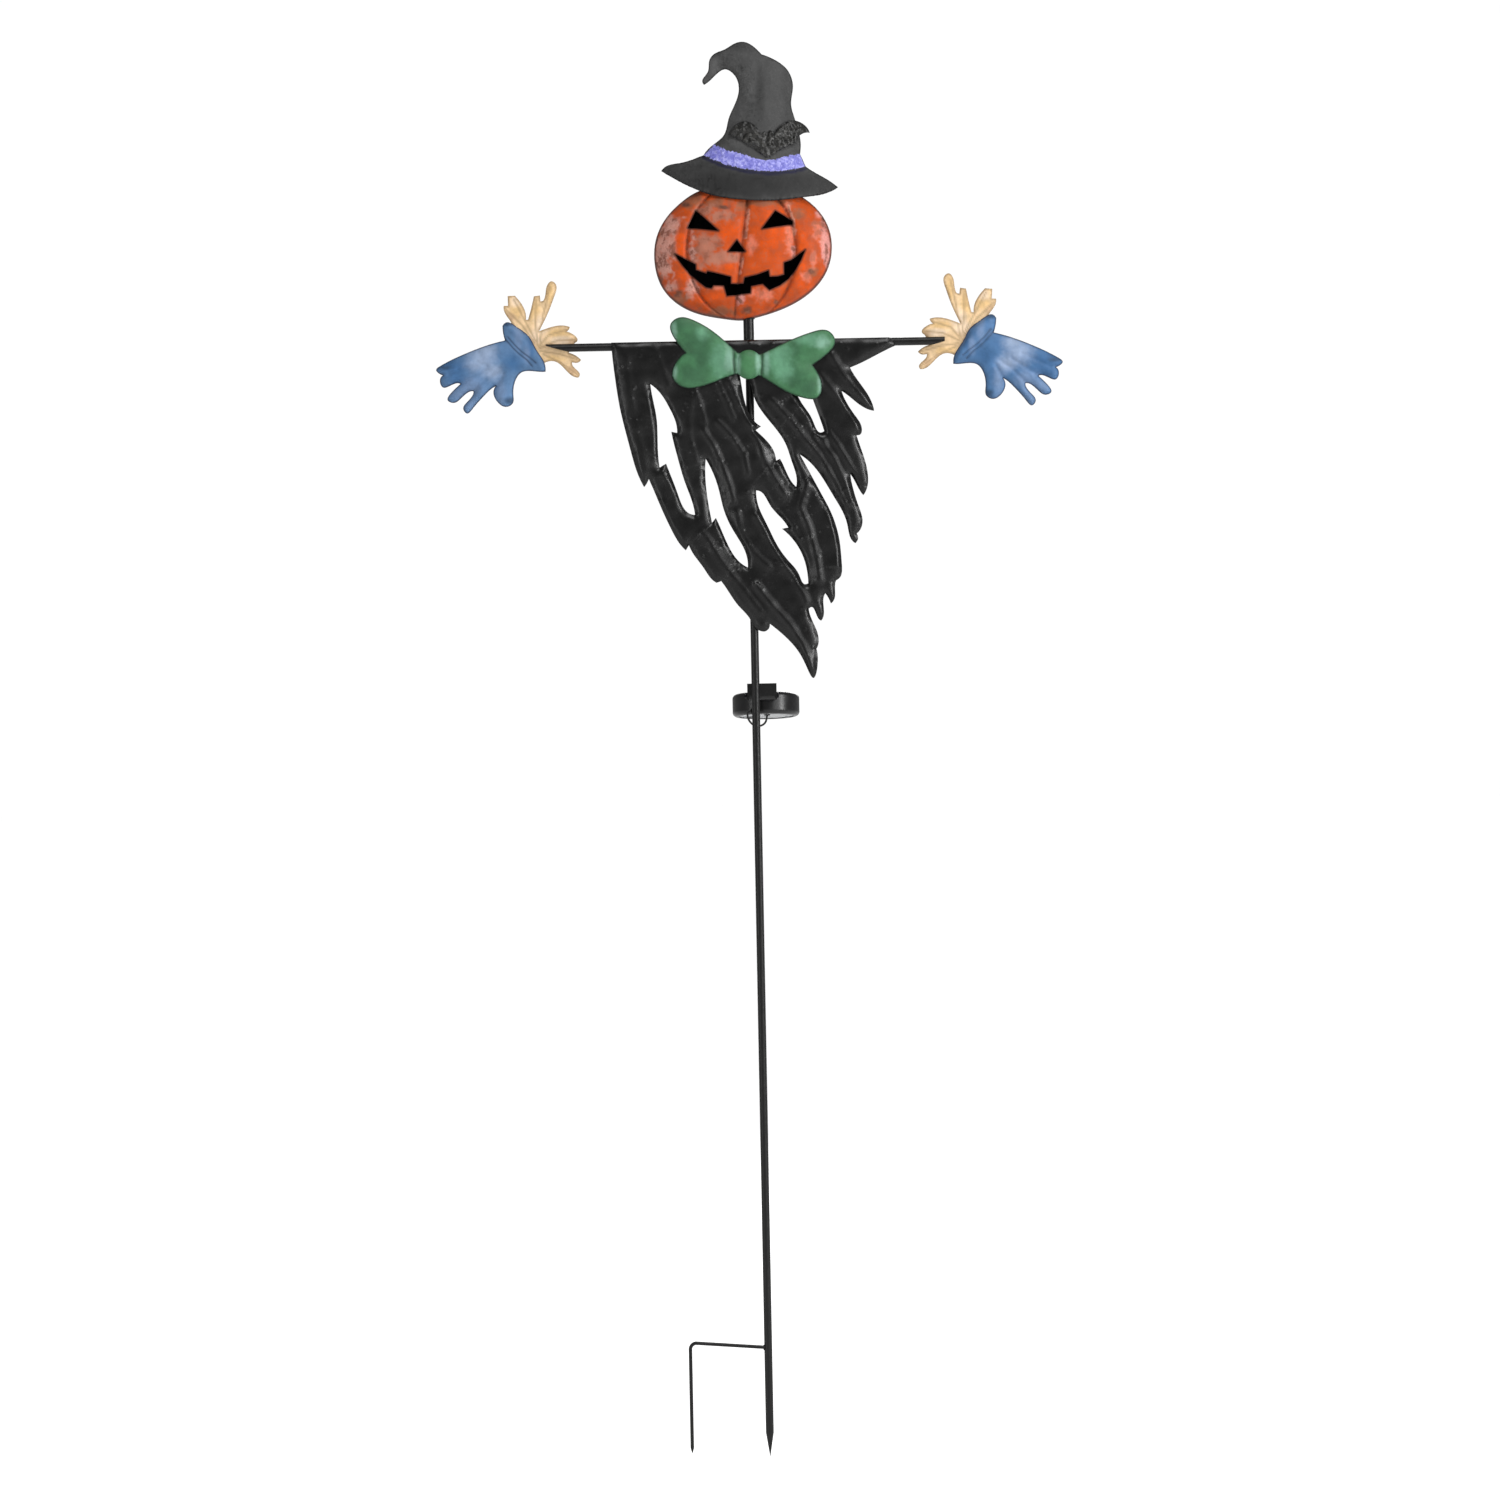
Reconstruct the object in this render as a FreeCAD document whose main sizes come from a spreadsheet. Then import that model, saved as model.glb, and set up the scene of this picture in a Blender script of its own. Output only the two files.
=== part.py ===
import FreeCAD, Part
import math
import os
import re
import Sketcher

# A garden scarecrow on a three-piece pole. A hollow pumpkin head in a crooked hat glows from the
# LEDs inside it. A tattered sheet-steel cloak, a bow tie and two stamped hands hang on a crossbar.
# A solar unit tilts on a bracket behind the mast, and its lead runs up inside the mast.
#
# +X is the viewer's right, -Y faces the viewer and +Z is up. The origin is on the pole's axis at
# ground level, where the step bar meets the pole. Everything above the crossbar's height is
# drawn from the shoulder line, so outlines hold (x, height over the shoulder line).

V = FreeCAD.Vector
doc = FreeCAD.newDocument("scarecrow_figure")

SIZES = {
    # pole sections, joined by a swaged spigot on each upper section
    "pole_od": 8.0,
    "pole_bore": 6.4,
    "spigot_od": 6.3,
    "spigot_bore": 4.8,
    "spigot_long": 35.0,
    "seat_gap": 0.02,
    "tip_below": 110.0,
    "taper_below": 85.0,
    "lower_joint": 290.0,
    "upper_joint": 618.0,
    "mast_top": 1036.0,
    # step fork
    "fork_rod": 3.6,
    "fork_reach": 77.8,
    "fork_rise": 6.0,
    "fork_bend": 6.0,
    "fork_deep": 104.0,
    # shoulders and neck
    "shoulder": 1002.0,
    "bar_left": 203.0,
    "bar_right": 195.5,
    "bar_lift": 0.5,
    "bar_ahead": 8.0,
    "neck_od": 10.5,
    "neck_bore": 8.2,
    "neck_from": 1007.0,
    "neck_to": 1034.0,
    # stamped sheets
    "gauge": 0.8,
    "cloak_gauge": 0.9,
    "head_deep": 30.0,
    "bow_ahead": 16.0,
    "knot_deep": 7.0,
    "knot_width": 27.0,
    "knot_height": 29.5,
    # light inside the head
    "led_cup_r": 7.0,
    "led_cup_tall": 4.0,
    "led_board_r": 8.5,
    "board_thick": 1.2,
    "led_r": 2.5,
    "led_tall": 8.0,
    # tilting bracket
    "hinge_back": 12.5,
    "hinge_height": 652.0,
    "screw_r": 1.5,
    "screw_hole_r": 1.55,
    "screw_head_r": 2.8,
    "ear_thick": 1.5,
    "bracket_left": 8.4,
    "bracket_right": 21.0,
    "bracket_deep": 12.5,
    "web_top": 12.0,
    "web_tall": 12.5,
    "ear_drop": 4.6,
    # solar unit, measured from the middle of its puck
    "puck_r": 33.75,
    "puck_half": 11.25,
    "puck_round": 4.5,
    "puck_bore": 31.5,
    "roof_under": 8.0,
    "window_r": 24.5,
    "window_seat_r": 24.6,
    "window_hole_r": 22.0,
    "window_from": 9.2,
    "window_thick": 1.5,
    "cell_side": 30.0,
    "cell_thick": 0.6,
    "lip_thick": 2.0,
    "cover_r": 27.5,
    "cover_hole_r": 27.6,
    "cover_from": 10.4,
    "cover_thick": 2.0,
    "post_r": 2.4,
    "post_ring": 24.3,
    "battery_r": 5.25,
    "battery_long": 44.5,
    "button_r": 3.2,
    "button_hole_r": 3.5,
    "button_proud": 1.0,
    # lead
    "lead_dia": 2.0,
    "lead_hole_r": 1.9,
    "lead_hole_at": 636.5,
}

sheet = doc.addObject("Spreadsheet::Sheet", "Sizes")
for row, (alias, value) in enumerate(SIZES.items(), 1):
    sheet.set(f"A{row}", alias)
    sheet.set(f"B{row}", str(value))
    sheet.setAlias(f"B{row}", alias)
doc.recompute()


def size(alias):
    """A driving dimension, read from the spreadsheet."""
    return float(sheet.get(alias))


def bound(text):
    """A sum of driving dimensions as the document's expressions write it."""
    return re.sub("[a-z_]{3,}", lambda word: "<<Sizes>>." + word.group(), text)


def value_of(text):
    """What that sum is worth, for a sketch's first drawing."""
    total, sign = 0.0, 1
    for word in text.split():
        if word in "+-":
            sign = -1 if word == "-" else 1
            continue
        name, _, divisor = word.partition("/")
        number = SIZES[name] if name in SIZES else float(name)
        total += sign * number / float(divisor or 1)
    return total


SHOULDER = size("shoulder")
pieces = []


def piece(obj, label, placement=None):
    """Keeps an object as a sub-part of the scarecrow, under the name a person would use."""
    obj.Label = label
    if placement is not None:
        obj.Placement = placement
    pieces.append(obj)
    return obj


def plane(body, role):
    return [f for f in body.Origin.OriginFeatures if f.Role == role][0]


def sketch_on(body, role, name):
    sketch = body.newObject("Sketcher::SketchObject", name)
    sketch.AttachmentSupport = [(plane(body, role), "")]
    sketch.MapMode = "FlatFace"
    return sketch


def bound_polygon(sketch, corners):
    """A closed polygon whose corners are pairs of sums of driving dimensions."""
    points = [V(value_of(a), value_of(b), 0) for a, b in corners]
    first = sketch.GeometryCount
    count = len(points)
    for i in range(count):
        sketch.addGeometry(Part.LineSegment(points[i], points[(i + 1) % count]), False)
    for i in range(count):
        sketch.addConstraint(
            Sketcher.Constraint("Coincident", first + i, 2, first + (i + 1) % count, 1)
        )
    for i, (across, up) in enumerate(corners):
        for kind, text in (("DistanceX", across), ("DistanceY", up)):
            index = sketch.addConstraint(
                Sketcher.Constraint(kind, -1, 1, first + i, 1, value_of(text))
            )
            sketch.setExpression(f"Constraints[{index}]", bound(text))


def bound_circle(sketch, radius, across="0", up="0"):
    """A circle with its radius and centre bound to driving dimensions."""
    centre = V(value_of(across), value_of(up), 0)
    at = sketch.addGeometry(Part.Circle(centre, V(0, 0, 1), value_of(radius)), False)
    index = sketch.addConstraint(Sketcher.Constraint("Radius", at, value_of(radius)))
    sketch.setExpression(f"Constraints[{index}]", bound(radius))
    for kind, text in (("DistanceX", across), ("DistanceY", up)):
        index = sketch.addConstraint(Sketcher.Constraint(kind, -1, 1, at, 3, value_of(text)))
        sketch.setExpression(f"Constraints[{index}]", bound(text))


def turned(name, profile):
    """A body of revolution about its own Z from a profile of (radius, height) corners."""
    body = doc.addObject("PartDesign::Body", name)
    sketch = sketch_on(body, "XZ_Plane", name + "_profile")
    bound_polygon(sketch, profile)
    turn = body.newObject("PartDesign::Revolution", name + "_turn")
    turn.Profile = sketch
    turn.ReferenceAxis = (sketch, ["V_Axis"])
    turn.Angle = 360
    return body


def cylinder(name, radius, height, placement):
    tool = doc.addObject("Part::Cylinder", name)
    tool.setExpression("Radius", bound(radius))
    tool.setExpression("Height", bound(height))
    tool.Placement = placement
    return tool


def box(name, length, width, height, placement):
    block = doc.addObject("Part::Box", name)
    block.setExpression("Length", bound(length))
    block.setExpression("Width", bound(width))
    block.setExpression("Height", bound(height))
    block.Placement = placement
    return block


def cut(name, base, tool):
    result = doc.addObject("Part::Cut", name)
    result.Base = base
    result.Tool = tool
    return result


def at(x, y, z):
    return FreeCAD.Placement(V(x, y, z), FreeCAD.Rotation())


# --- outlines -----------------------------------------------------------------------------------
# An outline is a list of stretches. Each is a smooth run from the corner where the stretch before
# it ended, through its own points, to its last point, which is the next corner. A stretch of one
# point is a straight line. Points are (x, height over the shoulder line) in millimetres.


def curves(outline, to_space):
    """One line or smooth curve for each stretch of an outline."""
    found = []
    corner = outline[-1][-1]
    for stretch in outline:
        points = [to_space(p) for p in [corner, *stretch]]
        if len(points) == 2:
            found.append(Part.LineSegment(*points))
        else:
            smooth = Part.BSplineCurve()
            smooth.interpolate(points)
            found.append(smooth)
        corner = stretch[-1]
    return found


def prism(outline, front=-60.0, back=60.0):
    """The outline as a bar along Y, in the scarecrow's own frame."""
    edges = [c.toShape() for c in curves(outline, lambda p: V(p[0], back, SHOULDER + p[1]))]
    return Part.Face(Part.Wire(edges)).extrude(V(0, front - back, 0))


def flat_stamping(label, outline, back):
    """A flat sheet cut to an outline. back is the Y of its rear face."""
    body = doc.addObject("PartDesign::Body", label + "_body")
    sketch = sketch_on(body, "XZ_Plane", label + "_outline")
    sketch.addGeometry(curves(outline, lambda p: V(p[0], p[1], 0)), False)
    pad = body.newObject("PartDesign::Pad", label + "_pad")
    pad.Profile = sketch
    pad.setExpression("Length", bound("gauge"))
    body.setExpression("Placement.Base.z", bound("shoulder"))
    return piece(body, label, at(0, back, SHOULDER))


def slab(depth_at, across, up, thick, lift=0.0):
    """A curved sheet, depth_at(x, height) in front of the mast's axis, thickened forwards."""
    rows = [[V(x, -depth_at(x, v) - lift, SHOULDER + v) for v in up] for x in across]
    surface = Part.BSplineSurface()
    surface.interpolate(rows)
    return surface.toShape().extrude(V(0, -thick, 0))


def dome(outline, centre, depth, side):
    """A solid dome on the plane y = 0 over a closed smooth outline, towards side (-1 is front)."""
    wires = []
    for angle in (0, 18, 36, 52, 66, 77):
        scale, rise = math.cos(math.radians(angle)), math.sin(math.radians(angle))
        points = [
            V(centre[0] + (x - centre[0]) * scale, side * depth * rise,
              SHOULDER + centre[1] + (v - centre[1]) * scale)
            for x, v in outline
        ]
        loop = Part.BSplineCurve()
        loop.interpolate(Points=points, PeriodicFlag=True)
        wires.append(Part.Wire([loop.toShape()]))
    return Part.makeLoft(wires, True, False)


def shell(outline, centre, depth, side, thick):
    """A dome of sheet metal, open on the plane y = 0."""
    reach = sum(math.hypot(x - centre[0], v - centre[1]) for x, v in outline) / len(outline)
    shrink = 1 - thick / reach
    inner = [(centre[0] + (x - centre[0]) * shrink, centre[1] + (v - centre[1]) * shrink)
             for x, v in outline]
    return dome(outline, centre, depth, side).cut(dome(inner, centre, depth - thick, side))


def made(label, shape):
    """A sub-part whose free shape no feature draws."""
    feature = doc.addObject("Part::Feature", label)
    feature.Shape = shape
    return piece(feature, label, FreeCAD.Placement())


def rounded(points, name, bend=None):
    """A wire of straight runs joined by tangent arcs, of one radius or as large as the runs allow."""
    edges, start, radii = [], points[0], []
    for before, here, after in zip(points, points[1:], points[2:]):
        arriving, leaving = here - before, after - here
        half_turn = arriving.getAngle(leaving) / 2
        trim = 0.45 * min(arriving.Length, leaving.Length)
        if bend:
            trim = bend * math.tan(half_turn)
        radius = trim / math.tan(half_turn)
        arriving.normalize()
        leaving.normalize()
        first, last = here - arriving * trim, here + leaving * trim
        inward = (leaving - arriving).normalize()
        crest = here + inward * (radius / math.cos(half_turn) - radius)
        edges += [Part.LineSegment(start, first).toShape(), Part.Arc(first, crest, last).toShape()]
        start = last
        radii.append(round(radius, 1))
    edges.append(Part.LineSegment(start, points[-1]).toShape())
    print(name, "radii", radii, "length", round(sum(e.Length for e in edges), 1))
    return Part.Wire(edges)


def round_bar(path, radius):
    """A round solid along a wire that starts with a straight run."""
    start = path.OrderedVertexes[0].Point
    heading = path.OrderedEdges[0].tangentAt(path.OrderedEdges[0].FirstParameter)
    loop = Part.Wire([Part.makeCircle(radius, start, heading)])
    return path.makePipeShell([loop], True, False)


def cord(label, points):
    """A round cable along the route, checked against its section times its length."""
    radius = size("lead_dia") / 2
    path = rounded(points, label)
    solid = round_bar(path, radius)
    expected = math.pi * radius ** 2 * path.Length
    print(label, "volume ratio", round(solid.Volume / expected, 4))
    return made(label, solid)


# --- pole ---------------------------------------------------------------------------------------

lower_pole = turned("lower_pole_tube", [
    ("0", "0 - tip_below"),
    ("pole_od/2", "0 - taper_below"),
    ("pole_od/2", "lower_joint"),
    ("pole_bore/2", "lower_joint"),
    ("pole_bore/2", "4 - taper_below"),
    ("0", "0 - taper_below"),
])
piece(lower_pole, "lower_pole")


def upper_section(name, foot, top):
    """A pole section with a swaged spigot at its foot, which seats in the section below."""
    return turned(name, [
        ("spigot_od/2", f"{foot} - spigot_long"),
        ("spigot_od/2", f"{foot} + seat_gap"),
        ("pole_od/2", f"{foot} + seat_gap"),
        ("pole_od/2", top),
        ("pole_bore/2", top),
        ("pole_bore/2", f"{foot} + 3"),
        ("spigot_bore/2", f"{foot} + 1"),
        ("spigot_bore/2", f"{foot} - spigot_long"),
    ])


piece(upper_section("middle_pole_tube", "lower_joint", "upper_joint"), "middle_pole")

# The lead enters the mast through a hole on its back left side.
LEAD_SIDE = V(-math.sqrt(0.5), math.sqrt(0.5), 0)
into_mast = FreeCAD.Rotation(V(0, 0, 1), LEAD_SIDE)
mast_tube = upper_section("mast_tube", "upper_joint", "mast_top")
lead_hole = cylinder("lead_hole", "lead_hole_r", "pole_od",
                     FreeCAD.Placement(V(0, 0, size("lead_hole_at")), into_mast))
piece(cut("mast_cut", mast_tube, lead_hole), "mast")

# The step fork is one bent rod with a pointed prong, coped to the pole where it is welded on.
reach, rise, foot = size("fork_reach"), size("fork_rise"), 5 - size("fork_deep")
fork_radius = size("fork_rod") / 2
fork_path = rounded([V(-1, 0, 0), V(-reach, 0, rise), V(-reach, 0, foot)], "step_fork",
                    size("fork_bend"))
fork_point = Part.makeCone(0.4, fork_radius, 5, V(-reach, 0, foot - 5))
fork = round_bar(fork_path, fork_radius).fuse(fork_point)
made("step_fork", fork.cut(Part.makeCylinder(size("pole_od") / 2, 40, V(0, 0, -20))))

# --- shoulders and neck -------------------------------------------------------------------------

# The crossbar is a tube laid across the front of the mast, with both ends cut like a quill.
bar = doc.addObject("PartDesign::Body", "bar_tube")
ring = sketch_on(bar, "YZ_Plane", "bar_ring")
bound_circle(ring, "pole_od/2")
bound_circle(ring, "pole_bore/2")
tube = bar.newObject("PartDesign::Pad", "bar_pad")
tube.Profile = ring
tube.setExpression("Length", bound("bar_left + bar_right"))
quills = sketch_on(bar, "XZ_Plane", "bar_quills")
bound_polygon(quills, [("-1", "-5"), ("26", "-5"), ("0", "2.6"), ("-1", "2.6")])
bound_polygon(quills, [("bar_left + bar_right - 17", "-5"), ("bar_left + bar_right + 1", "-5"),
                       ("bar_left + bar_right + 1", "0.2"), ("bar_left + bar_right", "-0.2")])
doc.recompute()
whole_tube = bar.Shape.Volume
ends = bar.newObject("PartDesign::Pocket", "bar_ends")
ends.Profile = quills
ends.Type = "ThroughAll"
ends.Midplane = True
doc.recompute()
print("quill cuts take", round(whole_tube - bar.Shape.Volume), "mm3 off the crossbar")
piece(bar, "crossbar", at(-size("bar_left"), -size("bar_ahead"), SHOULDER + size("bar_lift")))

piece(turned("neck_sleeve", [
    ("neck_bore/2", "neck_from"), ("neck_od/2", "neck_from"),
    ("neck_od/2", "neck_to"), ("neck_bore/2", "neck_to"),
]), "neck_tube")

# --- cloak --------------------------------------------------------------------------------------

CLOAK = [
    # left edge and the tatters along the slanting hem, from the left shoulder down
    [(-137, -4), (-134.4, -30), (-130, -61), (-121, -100), (-111, -133), (-107.4, -140)],
    [(-104.4, -136), (-102.6, -132)],
    [(-99.6, -139), (-92.4, -157), (-80, -185), (-70.2, -200.7), (-67, -203.8)],
    [(-63.9, -198.8)],
    [(-59, -208.5), (-50, -221), (-40.3, -234.5), (-37, -236.8)],
    [(-32.2, -235.2)],
    [(-27.3, -242.3), (-15.6, -260), (-5.2, -272), (3.7, -284.6), (10, -286.4)],
    [(14, -284), (15.6, -278.7)],
    [(27.7, -289), (42, -304.7), (51, -321.6), (57.6, -333.6), (62.8, -312.5), (61.5, -304.7)],
    [(64, -297), (63.5, -291), (59.6, -280), (54.6, -264.4)],
    [(57.5, -262.8), (62.8, -272), (67, -276.5)],
    [(69.3, -272), (69.6, -254), (71.5, -249.3)],
    [(74.5, -254), (76.8, -259.6)],
    [(80.4, -255.3), (81.4, -241), (82.6, -236.5)],
    # the long slit under the right arm
    [(86.2, -234), (88.5, -219), (87.2, -200.7), (79.7, -171), (69.2, -149.6), (54.8, -122),
     (48.8, -110.6)],
    [(57.2, -117), (69.2, -131.6), (81.2, -152), (94.7, -181), (100, -198), (102.4, -199.9)],
    [(105.3, -195), (104, -190.3)],
    [(108.6, -184.5), (110, -178.6), (106.4, -163), (101.6, -147), (98.8, -131.2)],
    [(103.4, -138.8), (107, -146), (111.3, -152.3)],
    [(116.2, -140), (116.2, -131.6), (112.4, -113.6), (105.6, -92.4)],
    [(110, -91), (111, -86), (104.6, -72.8), (95.6, -58.4), (91.6, -48)],
    [(100.4, -54.8), (114.8, -65.6), (123.6, -68.4)],
    [(120.2, -57), (110.6, -41.6), (100.3, -24.8)],
    [(114.8, -18.8), (132.8, -9.8), (146.4, -3.6)],
    [(140, 4.5)],
    [(-137.4, 4.5)],
]
CLOAK_SLITS = [
    # under the left arm
    [[(-91.2, -44.6), (-80.4, -62), (-74.2, -77.6), (-73.4, -86.6)], [(-79.2, -85.4)],
     [(-78, -92), (-73.2, -112), (-66.6, -136), (-58.8, -159), (-57.2, -168.6)],
     [(-61.8, -167.6), (-74.4, -146), (-82.8, -123), (-85, -117)], [(-91.6, -120.8)],
     [(-93, -100), (-93.6, -71.6), (-97.4, -50), (-99.2, -37.6)]],
    # middle left
    [[(-39, -125.6), (-33, -143.6), (-29, -161.7), (-19.5, -184.5), (-9, -203), (-5.4, -222)],
     [(-14.3, -215.7), (-24, -201), (-31.8, -182.5), (-36.4, -172)], [(-40.3, -176.7)],
     [(-43.2, -160.4), (-45.8, -137.6), (-45.4, -113)]],
    # the neck opening, down to a small torn tab
    [[(-2, -31)],
     [(0.5, -38), (5, -55), (11.6, -66.8), (23.6, -82.4), (34.4, -99), (40.4, -117),
      (45, -134), (44.4, -142.6)],
     [(39.2, -136.4), (32, -120.8), (28.8, -114.4)], [(24.8, -116)],
     [(20, -101.6), (12.8, -93), (5, -85.4)], [(10.4, -81.8)],
     [(3, -75.4), (-3, -64.4), (-7.2, -47.6), (-9.6, -31)]],
    # middle right, past the foot of the long slit
    [[(7.4, -146), (18, -160.4), (31.6, -176.6), (35.8, -183)], [(29.4, -184)],
     [(40.7, -195.5), (48.5, -208.5), (53.7, -226.7), (54.6, -239)],
     [(51, -239.7), (46, -231), (35.5, -216.3), (23.8, -199.4), (14.7, -180), (7, -163),
      (4.4, -145.4)]],
    # under the right side of the bow
    [[(58, -42)], [(62.6, -56), (68.6, -72.8), (73.4, -87.6)],
     [(69.8, -89), (62, -76.4), (52.4, -60.8), (46.5, -50)]],
]


def cloak_depth(x, height):
    """The cloak hangs down the front of the crossbar and leans back to the mast below it."""
    bar_front = size("bar_ahead") + size("pole_od") / 2
    mast_front = size("pole_od") / 2 + 0.3
    lean = min(1, max(0, -(height + 15) / 235))
    return bar_front + (mast_front - bar_front) * (1 - math.cos(math.pi * lean)) / 2


cloak = slab(cloak_depth, (-170, 0, 170), range(20, -361, -20), size("cloak_gauge"))
cloak = cloak.common(prism(CLOAK))
for slit in CLOAK_SLITS:
    cloak = cloak.cut(prism(slit))
made("cloak_sheet", cloak)

# --- bow tie ------------------------------------------------------------------------------------

BOW = [
    [(-19, -1), (-35.5, 13.5), (-55.8, 25.5), (-69, 28), (-77.6, 22), (-74.2, 7), (-63.4, -7.5)],
    [(-74.8, -19.5), (-77, -31), (-66.6, -41.6), (-50.7, -41.6), (-26.7, -34), (-14, -29.6)],
    [(10.7, -32)],
    [(31.6, -45.4), (52, -54.3), (67.7, -54.3), (71.8, -43), (67, -28.3), (62.6, -22)],
    [(78.5, -10.6), (86, 2), (79.7, 11.6), (63.3, 11.2), (44.3, 4.6), (24, -4.3), (11.3, -10)],
    [(-11.5, -8)],
]
KNOT_AT = (-0.7, -20.3)
flat_stamping("bow_wings", BOW, -size("bow_ahead"))

knot_edge = [
    (KNOT_AT[0] + size("knot_width") / 2 * math.cos(step * math.pi / 6),
     KNOT_AT[1] + size("knot_height") / 2 * math.sin(step * math.pi / 6))
    for step in range(12)
]
knot = made("bow_knot", shell(knot_edge, KNOT_AT, size("knot_deep"), -1, size("gauge")))
knot.Placement = at(0, -size("bow_ahead") - size("gauge"), 0)

facing_back = FreeCAD.Rotation(V(0, 0, 1), V(0, 1, 0))
cloak_front = size("bar_ahead") + size("pole_od") / 2 + size("cloak_gauge")
standoff = doc.addObject("Part::Cylinder", "bow_spacer")
standoff.Radius = 3
standoff.Height = size("bow_ahead") - cloak_front
piece(standoff, "bow_standoff",
      FreeCAD.Placement(V(KNOT_AT[0], -size("bow_ahead"), SHOULDER - 14), facing_back))

# --- hands --------------------------------------------------------------------------------------

GLOVE = [
    # the cuff's open edge, then thumb, index, middle, ring and little finger
    [(-241.6, 27.5), (-231.5, 22.7), (-219.7, 13), (-212.3, -0.7), (-204.8, -13.5),
     (-203.7, -22.5)],
    [(-212.3, -22.3), (-220.8, -21.5), (-227.2, -22.6), (-234.7, -32.7), (-236.3, -46),
     (-236.8, -53), (-243.2, -57), (-251, -53.5), (-253.7, -36)],
    [(-266.7, -46.6), (-277.3, -58.3), (-283.2, -62.8), (-286.6, -58.5), (-282.7, -51.4),
     (-276.3, -40.7)],
    [(-288, -47), (-297, -52), (-301.9, -49.5), (-298.7, -42.3), (-289, -33.3)],
    [(-299.7, -35), (-306.5, -36.4), (-309.3, -31.5), (-300.8, -23.7)],
    [(-310.4, -22.3), (-313, -19), (-308.3, -14.6), (-287, -4.5), (-262.4, 4.6), (-243.7, 9.4)],
    [(-245.7, 19.5), (-245.9, 23.8)],
]
STRAW = [
    # stalks over the cuff, the tall stalk, then those along and under the crossbar
    [(-241, 33), (-244, 38.7), (-244.3, 44)], [(-240, 44)], [(-240.2, 53.7)], [(-233, 54)],
    [(-228.3, 48.3), (-224.5, 42), (-222.4, 29.7)], [(-220.3, 29.7)],
    [(-217.6, 38.7), (-214, 53)], [(-208, 53.7)], [(-207.5, 47.8)], [(-204.8, 48.3)],
    [(-202, 58), (-199.5, 65.4), (-196.3, 67.7), (-192.4, 65.5), (-193.6, 52.6),
     (-199.5, 37.7), (-206.4, 23.8), (-209.6, 18)],
    [(-203.7, 20), (-190, 23.3), (-178.7, 21.7)], [(-180.3, 18.5), (-185, 16.3)],
    [(-172.8, 12), (-171.2, 9), (-174, 5.7)], [(-180.3, -4)], [(-174, -6.6), (-168, -11.5)],
    [(-170, -13.4), (-177, -13.5)], [(-174, -20), (-169.6, -25.8), (-171.2, -29)],
    [(-174.4, -28.5), (-185.6, -19), (-204.3, -13.5)],
    # behind the cuff
    [(-214, -14)], [(-226, 2), (-234, 18), (-237.3, 27.5)],
]
WRIST = (205, -22)  # the right hand is the left one's mirror image, turned about this point


def right_hand(outline, degrees):
    """The mirrored outline, turned clockwise, in the same order of stretches."""
    c, s = math.cos(math.radians(degrees)), math.sin(math.radians(degrees))

    def place(p):
        across, up = -p[0] - WRIST[0], p[1] - WRIST[1]
        return (WRIST[0] + across * c + up * s, WRIST[1] - across * s + up * c)

    return [[place(p) for p in stretch] for stretch in outline]


straw_back = -size("pole_od") / 2 + size("gauge")
for side, straw, glove in (("left", STRAW, GLOVE),
                           ("right", right_hand(STRAW, 3), right_hand(GLOVE, 2))):
    flat_stamping(f"{side}_straw", straw, straw_back)
    flat_stamping(f"{side}_glove", glove, straw_back - size("gauge"))

# --- head ---------------------------------------------------------------------------------------

PUMPKIN = [
    (0, 25.8), (20, 30.8), (42, 39), (65.5, 54.5), (80, 74.5), (84.8, 98), (80, 121),
    (68, 138), (48, 152), (24, 159), (0, 160.5), (-26, 159.5), (-48, 155), (-65, 144.5),
    (-80.5, 129), (-91, 108), (-92.7, 83), (-86.5, 61), (-71, 43), (-49, 32), (-24, 26.8),
]
PUMPKIN_MIDDLE = (-4, 93)
FACE = [
    # the eyes, the nose and the grin with its two upper teeth and three lower ones
    [(-50.5, 133.8), (-58.8, 116.6), (-28.2, 112.2)],
    [(28.7, 131.6), (15.1, 113.3), (45.6, 118), (45.6, 121.3)],
    [(-10, 102.7), (-18.9, 91.3), (-2.1, 91.3)],
    [(-72, 90.8), (-62, 85.4), (-51.6, 79.5), (-51.6, 74), (-41, 70), (-39.8, 72.2),
     (-28.5, 69.3), (-17, 66.3), (-17, 59.4), (-4.3, 59.4), (-2.8, 65.3), (9.7, 67.8),
     (20.7, 71.8), (21.7, 65.6), (29.5, 65.9), (36.5, 67.8), (36.5, 79.5), (43.4, 82),
     (57.8, 92.4), (53.7, 83), (47.8, 73), (40.5, 64), (31.7, 57.5), (21.4, 53), (14.8, 59),
     (3.1, 57), (2.3, 50.2), (-21, 48), (-23.8, 58), (-34.3, 58.6), (-36.5, 55.6),
     (-41.7, 56.8), (-49, 62.7), (-57, 70), (-64.4, 78.8), (-69.5, 86)],
]


neck_hole = Part.makeCylinder(size("neck_od") / 2 + 0.1, 20, V(0, 0, size("neck_from")))
neck_hole = neck_hole.fuse(Part.makeCylinder(size("neck_od") / 2 + 0.1, 20, V(0, 0, 1020)))
front = shell(PUMPKIN, PUMPKIN_MIDDLE, size("head_deep"), -1, size("gauge")).cut(neck_hole)
for hole in FACE:
    front = front.cut(prism([[corner] for corner in hole], back=-1.5))
made("pumpkin_front_shell", front)
made("pumpkin_back_shell",
     shell(PUMPKIN, PUMPKIN_MIDDLE, size("head_deep"), 1, size("gauge")).cut(neck_hole))

# --- hat ----------------------------------------------------------------------------------------

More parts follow.
